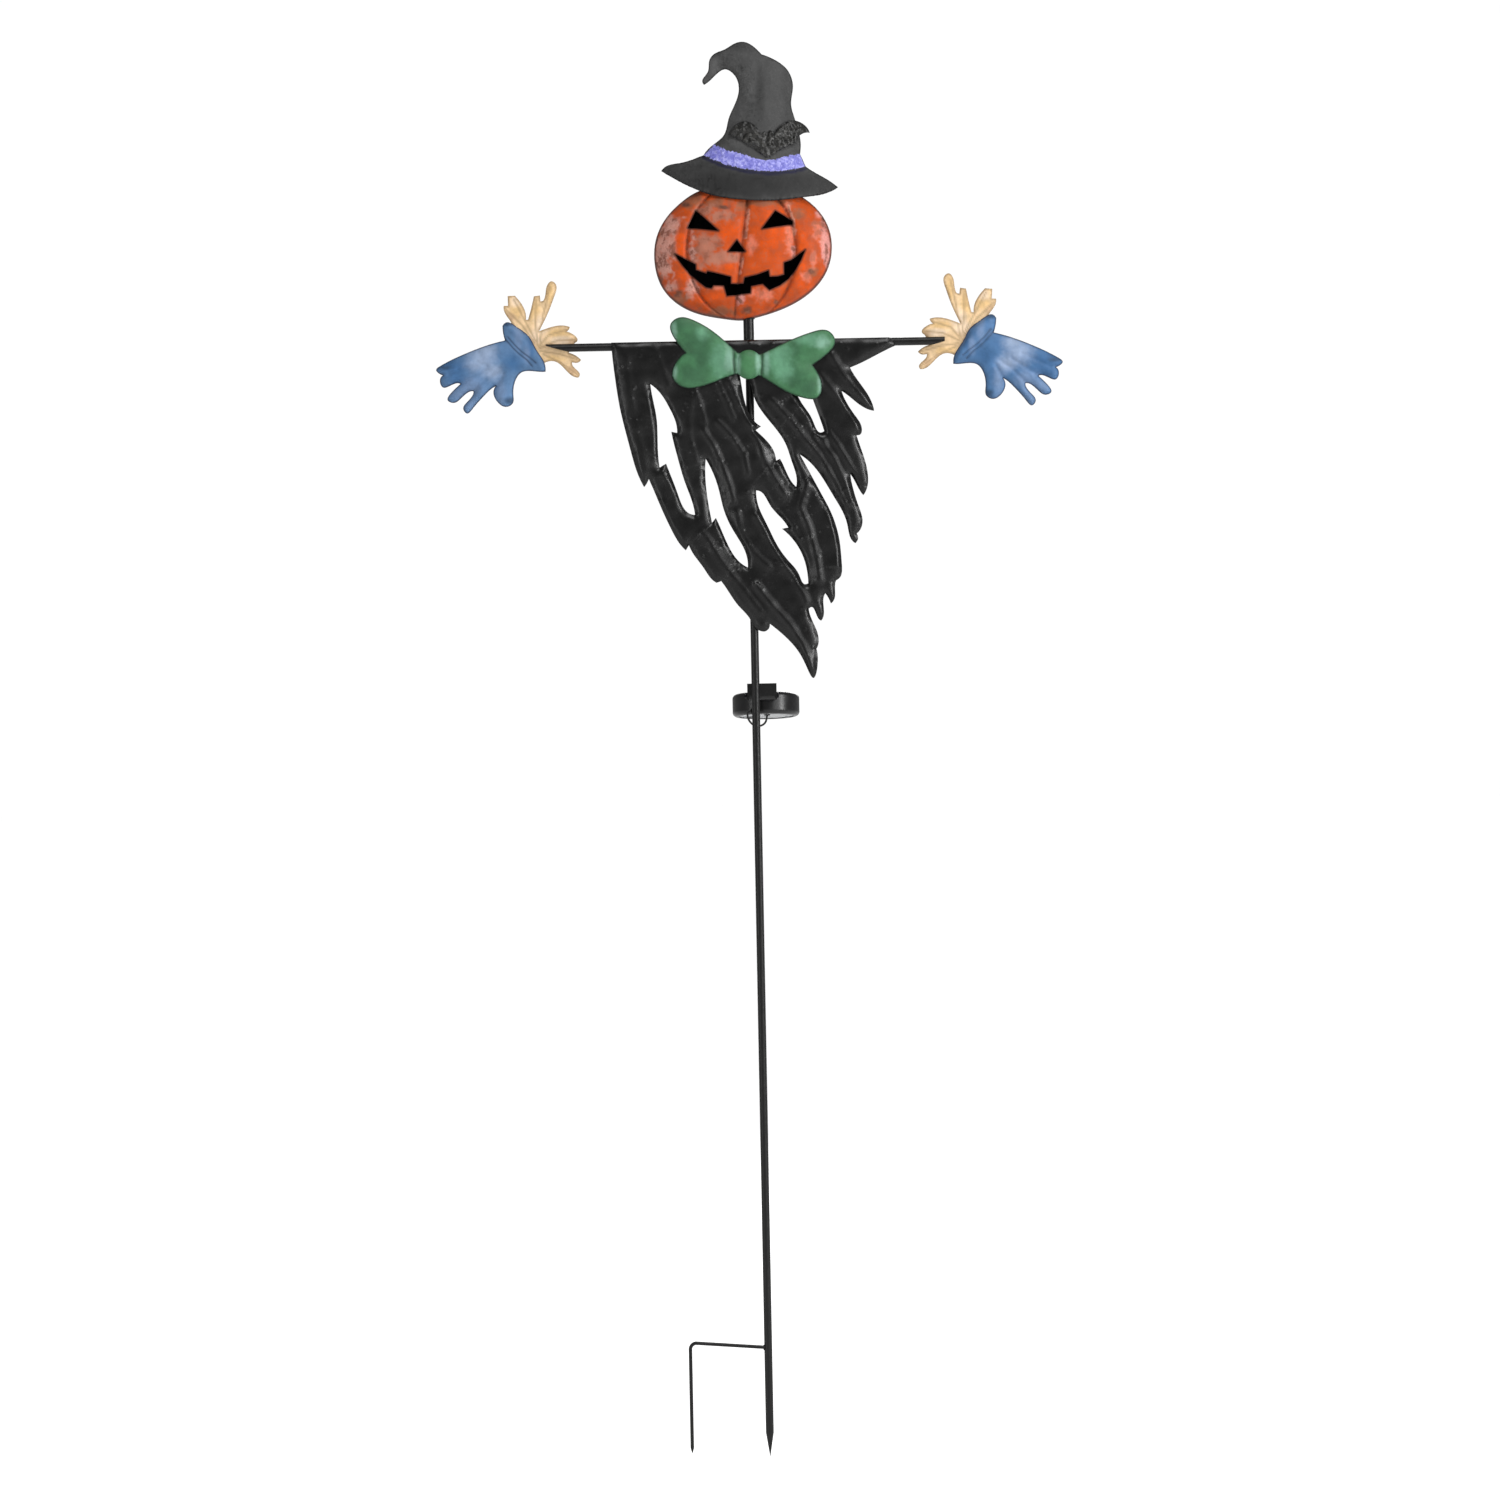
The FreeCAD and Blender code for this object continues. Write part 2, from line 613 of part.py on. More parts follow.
HAT = [
    # brim's left half, crown up to the drooping tip on the left, over the fold and down
    [(-80, 180.3), (-62.7, 183.7), (-46.7, 188.3), (-41.7, 190)],
    [(-31.3, 201), (-21.3, 209.7), (-16.3, 226), (-9.3, 241.7), (-5.3, 256), (-9.3, 270),
     (-18.5, 276.4), (-29.3, 270), (-40, 261.4)],
    [(-41.7, 265), (-36, 274.3), (-34.4, 285), (-29.3, 292), (-19.3, 295.7), (-10, 301),
     (0, 303), (10.7, 297.7), (18, 290.3)],
    [(31.3, 284.6), (44, 274), (48.9, 258), (46.7, 240), (49.3, 228), (54.7, 208),
     (54.4, 189.7)],
    # brim's right half and its lower edge
    [(60, 176.3)],
    [(70.7, 169.7), (82.7, 163), (92, 156.3)],
    [(87.4, 153.3), (58, 145.5), (28.7, 142.2), (-3.5, 143.3), (-34, 149), (-59, 160),
     (-84.4, 176)],
]
HAT_BAND = [
    [(-36, 195), (-31.3, 201)],
    [(-14.7, 193.7), (-2.7, 189.7), (13.3, 184), (22.7, 183), (33.3, 185), (54, 189.4)],
    [(59.3, 176.6)],
    [(46.7, 172.6), (22.7, 171), (-1.3, 173.7), (-25.3, 180.6), (-41.7, 190)],
]
BAT = [
    # over the left-hand image of the head and wings, then along the scalloped lower edge
    [(58.7, 219.7), (48, 223), (38.7, 219.7), (31.3, 213)], [(28, 211)], [(25.3, 213)],
    [(22, 209.7)], [(20, 211.7)], [(14.7, 209.7)],
    [(11.3, 216.3), (2.7, 222), (-4, 222), (-13.3, 215.7), (-17, 209)],
    [(-8, 205.7), (-1.3, 200.3), (4, 196.3)], [(12, 191.7)], [(20, 185)], [(25.3, 185.7)],
    [(33.3, 191.7), (46.7, 199), (52, 203)], [(56, 209), (64.7, 211)],
]
ACROSS, UP = range(-92, 105, 7), range(136, 311, 7)

# How wide the hat's bulge is at each height: (height, middle, half width). The two halves part
# round the head at the brim and come together along both sides of the crown.
HAT_BULGE = [(130, 4, 89.5), (176, 4, 89.5), (190, 6, 68), (205, 12, 48), (220, 16, 37),
             (240, 19, 31), (257, 21, 29.5), (276, 15, 33), (290, 2, 32), (312, 0, 26)]


def hat_depth(x, height, spread=1.0):
    """The hat bulges round the head at its brim and flattens to its tip. spread widens the bulge."""
    for low, high in zip(HAT_BULGE, HAT_BULGE[1:]):
        if height <= high[0]:
            break
    share = (height - low[0]) / (high[0] - low[0])
    middle = low[1] + (high[1] - low[1]) * share
    half_width = spread * (low[2] + (high[2] - low[2]) * share)
    bulge = 25 - 21 * (height - 140) / 165
    return 0.4 + bulge * max(0, 1 - ((x - middle) / half_width) ** 2)


def bat_depth(x, height):
    """The bat is flatter than the crown it is fixed to, so its wing tips stand off."""
    return hat_depth(x, height, 1.25)


def raised(outline, rise):
    return [[(x, height + rise) for x, height in stretch] for stretch in outline]


gauge = size("gauge")
hat = slab(hat_depth, ACROSS, UP, gauge).common(prism(HAT))
made("hat_front_shell", hat)
# The back half's brim is a little shorter, so it stays out of sight behind the front one.
hat_back = hat.mirror(V(0, 0, 0), V(0, 1, 0)).common(prism(raised(HAT, 7)))
made("hat_back_shell", hat_back)
made("hat_band", slab(hat_depth, ACROSS, UP, gauge, lift=gauge).common(prism(HAT_BAND)))
made("bat_badge",
     slab(bat_depth, ACROSS, UP, gauge, lift=2 * gauge + 0.05).common(prism(BAT)))

# Two straps inside the hat tie its halves to the top of the pumpkin.
straps = []
for x in (-26, 24):
    half = min(hat_depth(x - 6, 162), hat_depth(x + 6, 162)) - 0.1
    straps.append(Part.makeBox(12, 2 * half, 1, V(x - 6, -half, SHOULDER + 160.9)))
made("hat_straps", Part.Compound(straps))

# --- light --------------------------------------------------------------------------------------

piece(turned("led_cup_turning", [
    ("lead_dia/2 + 0.1", "mast_top"), ("led_cup_r", "mast_top"),
    ("led_cup_r", "mast_top + led_cup_tall"), ("lead_dia/2 + 0.1", "mast_top + led_cup_tall"),
]), "led_holder")
led_floor = size("mast_top") + size("led_cup_tall")
piece(cylinder("led_disc", "led_board_r", "board_thick", at(0, 0, 0)), "led_board",
      at(0, 0, led_floor))
bulbs = []
for turn in range(3):
    angle = math.radians(120 * turn + 30)
    foot_of_bulb = V(4.6 * math.cos(angle), 4.6 * math.sin(angle),
                     led_floor + size("board_thick"))
    straight = size("led_tall") - size("led_r")
    bulb = Part.makeCylinder(size("led_r"), straight, foot_of_bulb)
    bulbs.append(bulb.fuse(Part.makeSphere(size("led_r"), foot_of_bulb + V(0, 0, straight))))
made("led_bulbs", Part.Compound(bulbs))

# --- tilting bracket ----------------------------------------------------------------------------

HINGE = V(0, size("hinge_back"), size("hinge_height"))
bracket = doc.addObject("PartDesign::Body", "bracket_bend")
plan = sketch_on(bracket, "XY_Plane", "bracket_plan")
bound_polygon(plan, [
    ("0 - bracket_left", "pole_od/2"), ("bracket_right", "pole_od/2"),
    ("bracket_right", "pole_od/2 + bracket_deep"),
    ("bracket_right - ear_thick", "pole_od/2 + bracket_deep"),
    ("bracket_right - ear_thick", "pole_od/2 + ear_thick"),
    ("ear_thick - bracket_left", "pole_od/2 + ear_thick"),
    ("ear_thick - bracket_left", "pole_od/2 + bracket_deep"),
    ("0 - bracket_left", "pole_od/2 + bracket_deep"),
])
strip = bracket.newObject("PartDesign::Pad", "bracket_pad")
strip.Profile = plan
strip.setExpression("Length", bound("web_top + ear_drop"))
doc.recompute()
side_view = sketch_on(bracket, "YZ_Plane", "bracket_side")
bound_circle(side_view, "screw_hole_r", "hinge_back", "ear_drop")
holes = bracket.newObject("PartDesign::Pocket", "bracket_holes")
holes.Profile = side_view
holes.Type = "ThroughAll"
holes.Midplane = True
bracket_foot = size("hinge_height") - size("ear_drop")
bracket.Placement = at(0, 0, bracket_foot)
trim = box("web_trim", "bracket_left + bracket_right + 2", "pole_od/2 + ear_thick",
           "web_top + ear_drop - web_tall", at(-size("bracket_left") - 1, 0, bracket_foot))
piece(cut("bracket_cut", bracket, trim), "solar_bracket")

to_the_right = FreeCAD.Rotation(V(0, 0, 1), V(1, 0, 0))
left, right = size("bracket_left"), size("bracket_right")
piece(turned("hinge_screw_turning", [
    ("0", "-3 - bracket_left"), ("screw_r", "-3 - bracket_left"),
    ("screw_r", "bracket_right"), ("screw_head_r", "bracket_right"),
    ("screw_head_r", "bracket_right + 1.6"), ("1.8", "bracket_right + 2.2"),
    ("0", "bracket_right + 2.2"),
]), "hinge_screw", FreeCAD.Placement(HINGE, to_the_right))
nut = doc.addObject("Part::Prism", "nut_blank")
nut.Polygon = 6
nut.setExpression("Circumradius", bound("screw_head_r"))
nut.Height = 2.3
nut.Placement = FreeCAD.Placement(HINGE + V(-left - 2.3, 0, 0), to_the_right)
nut_bore = cylinder("nut_bore", "screw_hole_r", "pole_od",
                    FreeCAD.Placement(HINGE + V(-left - 5, 0, 0), to_the_right))
piece(cut("nut_cut", nut, nut_bore), "hinge_nut")

# --- solar unit ---------------------------------------------------------------------------------

# The puck hangs on a lug at its front edge and leans back by a few degrees.
PUCK_FROM_HINGE = V(10.2, 40.3, -6.2)
TILT = FreeCAD.Rotation(V(1, 0, 0), -5)
PUCK = FreeCAD.Placement(HINGE, TILT).multiply(at(*PUCK_FROM_HINGE))


def in_puck(x, y, z):
    """A placement at a point measured from the middle of the puck."""
    return PUCK.multiply(at(x, y, z))


case = turned("case_turning", [
    ("puck_r", "0 - puck_half"), ("puck_r", "puck_half"),
    ("window_seat_r", "puck_half"), ("window_seat_r", "window_from"),
    ("window_hole_r", "window_from"), ("window_hole_r", "roof_under"),
    ("puck_bore", "roof_under"), ("puck_bore", "lip_thick - puck_half"),
    ("cover_hole_r", "lip_thick - puck_half"), ("cover_hole_r", "0 - puck_half"),
])
doc.recompute()
rims = [
    f"Edge{number}" for number, edge in enumerate(case.Shape.Edges, 1)
    if isinstance(edge.Curve, Part.Circle) and abs(edge.Curve.Radius - size("puck_r")) < 0.01
]
case_turn = case.Tip
rounding = case.newObject("PartDesign::Fillet", "case_rims")
rounding.Base = (case_turn, rims)
rounding.setExpression("Radius", bound("puck_round"))
doc.recompute()

POST_ANGLES = (30, 150, 270)
post_spots = [
    (size("post_ring") * math.cos(math.radians(a)), size("post_ring") * math.sin(math.radians(a)))
    for a in POST_ANGLES
]
post_foot = size("cover_thick") - size("cover_from")
lug_right = right - size("ear_thick") - 0.3 - PUCK_FROM_HINGE.x
lug_left = size("ear_thick") - left + 0.3 - PUCK_FROM_HINGE.x
lug_at = V(lug_left, -PUCK_FROM_HINGE.y, -PUCK_FROM_HINGE.z)
barrel = doc.addObject("Part::Cylinder", "lug_barrel")
barrel.Radius, barrel.Height = 4.5, lug_right - lug_left
barrel.Placement = FreeCAD.Placement(lug_at, to_the_right)
arm = doc.addObject("Part::Box", "lug_arm")
arm.Length, arm.Width, arm.Height = 16, 9.6, 6.5
arm.Placement = at((lug_left + lug_right) / 2 - 8, lug_at.y, lug_at.z - 4.5)
lug_bore = doc.addObject("Part::Cylinder", "lug_bore")
lug_bore.setExpression("Radius", bound("screw_hole_r"))
lug_bore.Height = lug_right - lug_left + 4
lug_bore.Placement = FreeCAD.Placement(lug_at - V(2, 0, 0), to_the_right)
posts = [
    cylinder(f"post_{n}", "post_r", "roof_under", at(x, y, 0))
    for n, (x, y) in enumerate(post_spots, 1)
]
for post in posts:
    post.setExpression("Height", bound("roof_under + cover_from - cover_thick"))
    post.Placement.Base.z = post_foot
joined = doc.addObject("Part::MultiFuse", "case_with_lug")
joined.Shapes = [case, barrel, arm, *posts]
piece(cut("case_cut", joined, lug_bore), "solar_housing", PUCK)

cover_disc = turned("cover_turning", [
    ("0", "0 - cover_from"), ("cover_r", "0 - cover_from"),
    ("cover_r", "cover_thick - cover_from"), ("0", "cover_thick - cover_from"),
])
BUTTON_SPOT, GLAND_SPOT = (-14, 9), (0.8, -15)
cover_holes = doc.addObject("Part::Compound", "cover_holes")
cover_holes.Links = [
    cylinder("button_hole", "button_hole_r", "puck_half", at(*BUTTON_SPOT, -15)),
    cylinder("gland_hole", "lead_hole_r", "puck_half", at(*GLAND_SPOT, -15)),
    *[cylinder(f"screw_hole_{n}", "lead_dia/2", "puck_half", at(x, y, -15))
      for n, (x, y) in enumerate(post_spots, 1)],
]
piece(cut("cover_cut", cover_disc, cover_holes), "base_cover", PUCK)

screws = []
for x, y in post_spots:
    head_under = V(x, y, -size("cover_from") - 0.8)
    head = Part.makeCylinder(2, 0.8, head_under)
    screws.append(head.fuse(Part.makeCylinder(0.9, size("cover_thick") + 0.8, head_under)))
made("cover_screws", Part.Compound(screws)).Placement = PUCK

piece(cylinder("window_disc", "window_r", "window_thick", at(0, 0, 0)), "cell_window",
      in_puck(0, 0, size("window_from")))
half_cell = size("cell_side") / 2
piece(box("cell_blank", "cell_side", "cell_side", "cell_thick", at(0, 0, 0)), "solar_cell",
      in_puck(-half_cell, -half_cell, size("window_from") - size("cell_thick")))
board = doc.addObject("Part::Box", "board_blank")
board.Length, board.Width = 30, 16
board.setExpression("Height", bound("board_thick"))
piece(board, "circuit_board", in_puck(-15, 4, 4.4))

BATTERY_Y, BATTERY_Z = -5.5, -1
along_x = FreeCAD.Placement(V(-size("battery_long") / 2, BATTERY_Y, BATTERY_Z), to_the_right)
piece(cylinder("battery_cell", "battery_r", "battery_long", at(0, 0, 0)), "battery",
      PUCK.multiply(along_x))
contact_x = size("battery_long") / 2
contacts = [
    Part.makeBox(0.5, 8, 9, V(x, BATTERY_Y - 4, BATTERY_Z - 4.5))
    for x in (contact_x, -contact_x - 0.5)
]
made("battery_contacts", Part.Compound(contacts)).Placement = PUCK

# The button is pushed up into the base; a flange inside the cover keeps it in.
piece(turned("button_turning", [
    ("0", "0 - cover_from - button_proud"), ("button_r", "0 - cover_from - button_proud"),
    ("button_r", "0.3 + cover_thick - cover_from"),
    ("button_r + 1", "0.3 + cover_thick - cover_from"),
    ("button_r + 1", "1.1 + cover_thick - cover_from"),
    ("0", "1.1 + cover_thick - cover_from"),
]), "power_button", in_puck(*BUTTON_SPOT, 0))

GLAND_MOUTH = -size("cover_from") - 1.2
piece(turned("gland_turning", [
    ("lead_dia/2 + 0.05", "-1.2 - cover_from"), ("3", "-1.2 - cover_from"), ("3", "0 - cover_from"),
    ("lead_hole_r", "0 - cover_from"), ("lead_hole_r", "cover_thick - cover_from"),
    ("lead_dia/2 + 0.05", "cover_thick - cover_from"),
]), "lead_gland", in_puck(*GLAND_SPOT, 0))

# --- lead ---------------------------------------------------------------------------------------

GROMMET_MOUTH = LEAD_SIDE * (size("pole_od") / 2 + 1.2) + V(0, 0, size("lead_hole_at"))
grommet = turned("grommet_turning", [
    ("lead_dia/2 + 0.05", "pole_bore/2 + 0.3"), ("1.8", "pole_bore/2 + 0.3"),
    ("1.8", "pole_od/2 + 0.4"), ("3", "pole_od/2 + 0.4"),
    ("3", "pole_od/2 + 1.2"), ("lead_dia/2 + 0.05", "pole_od/2 + 1.2"),
])
piece(grommet, "mast_grommet", FreeCAD.Placement(V(0, 0, size("lead_hole_at")), into_mast))

gland_exit = PUCK.multVec(V(*GLAND_SPOT, GLAND_MOUTH))
LEAD_ROUTE = [
    gland_exit,
    V(10.6, 34, 626),
    V(5.5, 29, 621.5),
    V(-1.5, 21.5, 621.6),
    V(-6.8, 14.5, 626),
    V(-9, 10, 632.4),
    V(-7.4, 7.4, 636.4),
    GROMMET_MOUTH,
]
cord("lead_loop", LEAD_ROUTE)
cord("lead_riser", [GROMMET_MOUTH, V(-0.6, 0.6, size("lead_hole_at")), V(0, 0, 641),
                    V(0, 0, led_floor)])

# --- check and write ----------------------------------------------------------------------------

doc.recompute()
for obj in doc.Objects:
    if "Invalid" in obj.State or "Error" in obj.State:
        raise ValueError(f"{obj.Name} failed: {obj.State} {obj.getStatusString()}")
for obj in pieces:
    if obj.Shape.isNull() or not obj.Shape.isValid():
        raise ValueError(f"{obj.Label} has no valid shape")
os.makedirs("parts", exist_ok=True)
for obj in pieces:
    obj.Shape.exportStep(f"parts/{obj.Label}.step")
    b = obj.Shape.BoundBox
    print(f"{obj.Label:22s} {obj.Shape.Volume:9.1f} mm3  x {b.XMin:7.1f} {b.XMax:7.1f}"
          f"  y {b.YMin:6.1f} {b.YMax:6.1f}  z {b.ZMin:7.1f} {b.ZMax:7.1f}"
          f"  solids {len(obj.Shape.Solids)}")
print("hinge", HINGE, "button axis", TILT.multVec(V(0, 0, 1)), "gland", gland_exit)
print(len(pieces), "sub-parts")
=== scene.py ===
# %% [markdown]
# # A garden scarecrow in painted sheet steel
# The CAD model is a fixed frame: its poles, bracket and solar unit already have the right shape,
# and only need a finish. The stamped sheets (cloak, hands, bow tie, pumpkin and hat) are flat or
# plainly curved in the CAD, so each gets a pressed and painted piece built over its CAD solid.

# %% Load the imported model
import math

import bmesh
import bpy
from mathutils import Matrix, Vector, noise
from mathutils.bvhtree import BVHTree
from mathutils.kdtree import KDTree


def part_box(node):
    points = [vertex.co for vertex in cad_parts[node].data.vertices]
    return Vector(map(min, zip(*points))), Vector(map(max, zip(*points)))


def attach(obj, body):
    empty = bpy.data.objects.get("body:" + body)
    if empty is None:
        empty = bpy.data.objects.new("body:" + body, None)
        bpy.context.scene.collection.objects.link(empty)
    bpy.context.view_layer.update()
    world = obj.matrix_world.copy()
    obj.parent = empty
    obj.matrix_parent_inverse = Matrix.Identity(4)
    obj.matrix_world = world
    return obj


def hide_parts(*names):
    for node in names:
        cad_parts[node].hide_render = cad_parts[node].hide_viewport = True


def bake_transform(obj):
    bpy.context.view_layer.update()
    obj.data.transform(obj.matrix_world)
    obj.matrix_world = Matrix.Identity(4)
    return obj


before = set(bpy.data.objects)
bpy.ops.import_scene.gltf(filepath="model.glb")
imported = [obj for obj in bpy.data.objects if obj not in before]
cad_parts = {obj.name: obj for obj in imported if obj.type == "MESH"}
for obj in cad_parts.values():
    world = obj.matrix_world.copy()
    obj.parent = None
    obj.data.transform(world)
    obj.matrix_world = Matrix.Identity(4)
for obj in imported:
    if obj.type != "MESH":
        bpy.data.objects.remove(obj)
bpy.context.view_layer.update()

# %% [markdown]
# The frame is in metres, but sheet metal is thought of in millimetres. Everything on the figure is
# measured from the shoulder line, which lies half a millimetre under the middle of the crossbar.

# %% Units and the shoulder line
MM = 0.001
bar_low, bar_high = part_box("crossbar")
BAR_LIFT = 0.5
SHOULDER = (bar_low.z + bar_high.z) / 2 - BAR_LIFT * MM
print("shoulder line at", round(SHOULDER / MM, 1), "mm")


def spot(x, height, y=0.0):
    """A point given in millimetres across, over the shoulder line and back from the pole's axis."""
    return Vector((x * MM, y * MM, SHOULDER + height * MM))


# %% [markdown]
# ## Camera
# A long lens from five metres away keeps the tall pole straight. It looks level at the middle of
# the figure and is rolled by about a degree, so the pole leans slightly in the frame.

# %% Camera
CAMERA_AWAY = 5.0
CAMERA_ACROSS, CAMERA_HIGH = -6.77, 597.6
CAMERA_ROLL = math.radians(1.1)
camera = bpy.data.objects.new("camera", bpy.data.cameras.new("camera"))
camera.data.sensor_width, camera.data.lens = 36, 120
bpy.context.scene.collection.objects.link(camera)
bpy.context.scene.camera = camera
across = Vector((math.cos(CAMERA_ROLL), 0, -math.sin(CAMERA_ROLL)))
upward = Vector((math.sin(CAMERA_ROLL), 0, math.cos(CAMERA_ROLL)))
backward = Vector((0, -1, 0))
turn = Matrix((across, upward, backward)).transposed().to_4x4()
camera_place = (CAMERA_ACROSS * MM, -CAMERA_AWAY, CAMERA_HIGH * MM)
camera.matrix_world = Matrix.Translation(camera_place) @ turn
print("camera", [round(c, 3) for c in camera.location])

# %% [markdown]
# ## The lead
# A thin two-core lead comes out of the solar unit's base, hangs in a small loop and goes into the
# mast. Its line is a NURBS curve over the same route as the CAD solid.

# %% The lead's line
LEAD_THICK = 2.0
LEAD_ROUTE = [
    (11.0, 36.152, 632.063),
    (10.6, 34, 626),
    (5.5, 29, 621.5),
    (-1.5, 21.5, 621.6),
    (-6.8, 14.5, 626),
    (-9, 10, 632.4),
    (-7.4, 7.4, 636.4),
    (-3.677, 3.677, 636.5),
]
lead_line = bpy.data.curves.new("lead_line", "CURVE")
lead_line.dimensions = "3D"
lead_spline = lead_line.splines.new("NURBS")
lead_spline.points.add(len(LEAD_ROUTE) - 1)
for point, place in zip(lead_spline.points, LEAD_ROUTE):
    point.co = (*[c * MM for c in place], 1)
lead_spline.order_u = 3
lead_spline.use_endpoint_u = True
lead_spline.resolution_u = 12
lead_curve = bpy.data.objects.new("lead_curve", lead_line)
lead_centre = bpy.data.meshes.new_from_object(lead_curve)
lead_path = [v.co.copy() for v in lead_centre.vertices]
print("the lead follows", len(lead_path), "points")

# %% The lead's tube
lead_line.bevel_depth = LEAD_THICK / 2 * MM
lead_line.bevel_resolution = 5
lead_line.use_fill_caps = True
lead_tube = bpy.data.objects.new("lead", bpy.data.meshes.new_from_object(lead_curve))
bpy.context.scene.collection.objects.link(lead_tube)
bpy.data.objects.remove(lead_curve)
lead_length = sum((b - a).length for a, b in zip(lead_path, lead_path[1:]))
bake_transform(lead_tube)
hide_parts("lead_loop")
print("lead length", round(lead_length / MM, 1), "mm")

# %% [markdown]
# ## Studio
# The floor is a wide plain disc and the world is an even white, so there is no horizon. A broad
# sun lamp is the soft overhead light, and three tall softboxes draw highlights down the poles
# and along the folds of the cloak. A weaker lamp behind keeps the back from going black.

# %% Floor
# The floor lies a few millimetres under the stake's point, so that the whole point shows.
GROUND = -0.1162
floor_bm = bmesh.new()
bmesh.ops.create_circle(floor_bm, cap_ends=True, segments=64, radius=60)
bmesh.ops.translate(floor_bm, verts=floor_bm.verts, vec=(0, 0, GROUND))
floor = bpy.data.objects.new("floor", bpy.data.meshes.new("floor"))
floor_bm.to_mesh(floor.data)
floor_bm.free()
bpy.context.scene.collection.objects.link(floor)
print("floor at", round(GROUND / MM, 1), "mm")


# %% One helper adds every node
def add(tree, kind, inputs=None, output=0, stops=None, **settings):
    """Adds a shader node, sets or links its inputs, and gives back one of its outputs."""
    node = tree.nodes.new("ShaderNode" + kind)
    for key, value in settings.items():
        setattr(node, key, value)
    if stops:
        while len(node.color_ramp.elements) < len(stops):
            node.color_ramp.elements.new(0.5)
        for element, (place, colour) in zip(node.color_ramp.elements, stops):
            element.position, element.color = place, colour
    for key, value in (inputs or {}).items():
        if isinstance(value, bpy.types.NodeSocket):
            tree.links.new(value, node.inputs[key])
        else:
            node.inputs[key].default_value = value
    return node.outputs[output]


def linear(code):
    """An sRGB hex colour such as "e0582a" as the linear colour that shaders use."""
    channels = [int(code[i:i + 2], 16) / 255 for i in (0, 2, 4)]
    return (*[c / 12.92 if c <= 0.04045 else ((c + 0.055) / 1.055) ** 2.4 for c in channels], 1)


def every(millimetres):
    """The scale of a pattern on Object coordinates whose marks are that far apart."""
    return 1 / (millimetres * MM)


# %% World and lamps
world = bpy.data.worlds.new("studio")
bpy.context.scene.world = world
world.use_nodes = True
world.node_tree.nodes.clear()
seen = add(world.node_tree, "LightPath", output="Is Camera Ray")
glow = add(world.node_tree, "MapRange", {"Value": seen, "To Min": 0.24, "To Max": 1.02})
sky = add(world.node_tree, "Background", {"Color": (1, 1, 1, 1), "Strength": glow})
world_end = world.node_tree.nodes.new("ShaderNodeOutputWorld")
world.node_tree.links.new(sky, world_end.inputs["Surface"])
bpy.context.scene.view_settings.view_transform = "Standard"

LAMPS = [
    # name, kind, strength, place, aimed at, width, height
    ("overhead_sun", "SUN", 1.2, (1.2, -2.8, 5.0), (0, 0, 0.6), 0.5, 0),
    ("left_softbox", "AREA", 9, (-1.9, -1.5, 0.9), (0, 0, 0.8), 0.3, 2.2),
    ("right_softbox", "AREA", 32, (2.0, -1.3, 1.25), (0, 0, 0.95), 0.35, 1.6),
    ("front_right_panel", "AREA", 9, (1.7, -2.6, 1.2), (0, 0, 0.9), 0.45, 1.8),
    ("rear_fill", "AREA", 45, (0.6, 3.6, 1.9), (0, 0, 0.8), 1.6, 1.6),
]
for name, kind, strength, place, target, width, height in LAMPS:
    lamp = bpy.data.lights.new(name, kind)
    lamp.energy = strength
    if kind == "SUN":
        lamp.angle = width
    else:
        lamp.shape, lamp.size, lamp.size_y = "RECTANGLE", width, height
    holder = bpy.data.objects.new(name, lamp)
    heading = (Vector(target) - Vector(place)).to_track_quat("-Z", "Y")
    holder.matrix_world = Matrix.Translation(place) @ heading.to_matrix().to_4x4()
    bpy.context.scene.collection.objects.link(holder)
print(len(LAMPS), "lamps")


# %% [markdown]
# ## Materials
# Every finish ends in one Principled shader. Small marks come from noise on Object coordinates,
# scaled in real millimetres. The stamped pieces also carry an attribute that holds how far each
# point is from the sheet's edge, and the paint is darkened close to that edge.

# %% A material and its surface
def new_material(name):
    """An empty node material and its tree."""
    made = bpy.data.materials.new(name)
    made.use_nodes = True
    made.node_tree.nodes.clear()
    return made, made.node_tree


def set_surface(tree, sockets):
    """Ends a tree in a Principled shader with these sockets set or linked."""
    shader = add(tree, "BsdfPrincipled", sockets)
    output = tree.nodes.new("ShaderNodeOutputMaterial")
    tree.links.new(shader, output.inputs["Surface"])


floor_paper, tree = new_material("white_backdrop_paper")
fibre = add(tree, "TexNoise", {"Scale": every(400)})
tone = add(tree, "ValToRGB", {"Fac": fibre},
           stops=[(0, linear("fbfbfb")), (1, linear("ffffff"))])
lift = add(tree, "MapRange", {"Value": add(tree, "LightPath", output="Is Camera Ray"),
                              "To Min": 0.0, "To Max": 0.5})
set_surface(tree, {"Base Color": tone, "Roughness": 0.9, "Specular IOR Level": 0.1,
                   "Emission Color": (1, 1, 1, 1), "Emission Strength": lift})
floor.data.materials.append(floor_paper)


# %% [markdown]
# Painted steel in a matt or satin coat is the finish of most of the figure. The same recipe makes
# each colour: cloudy paint, darker near a cut edge, with the fine orange peel and the soft hammer
# dimples of sprayed sheet metal as bump. A hand-painted piece brings its own colour as an
# attribute called "dabs"; a sprayed one has two tones that the clouds mix.

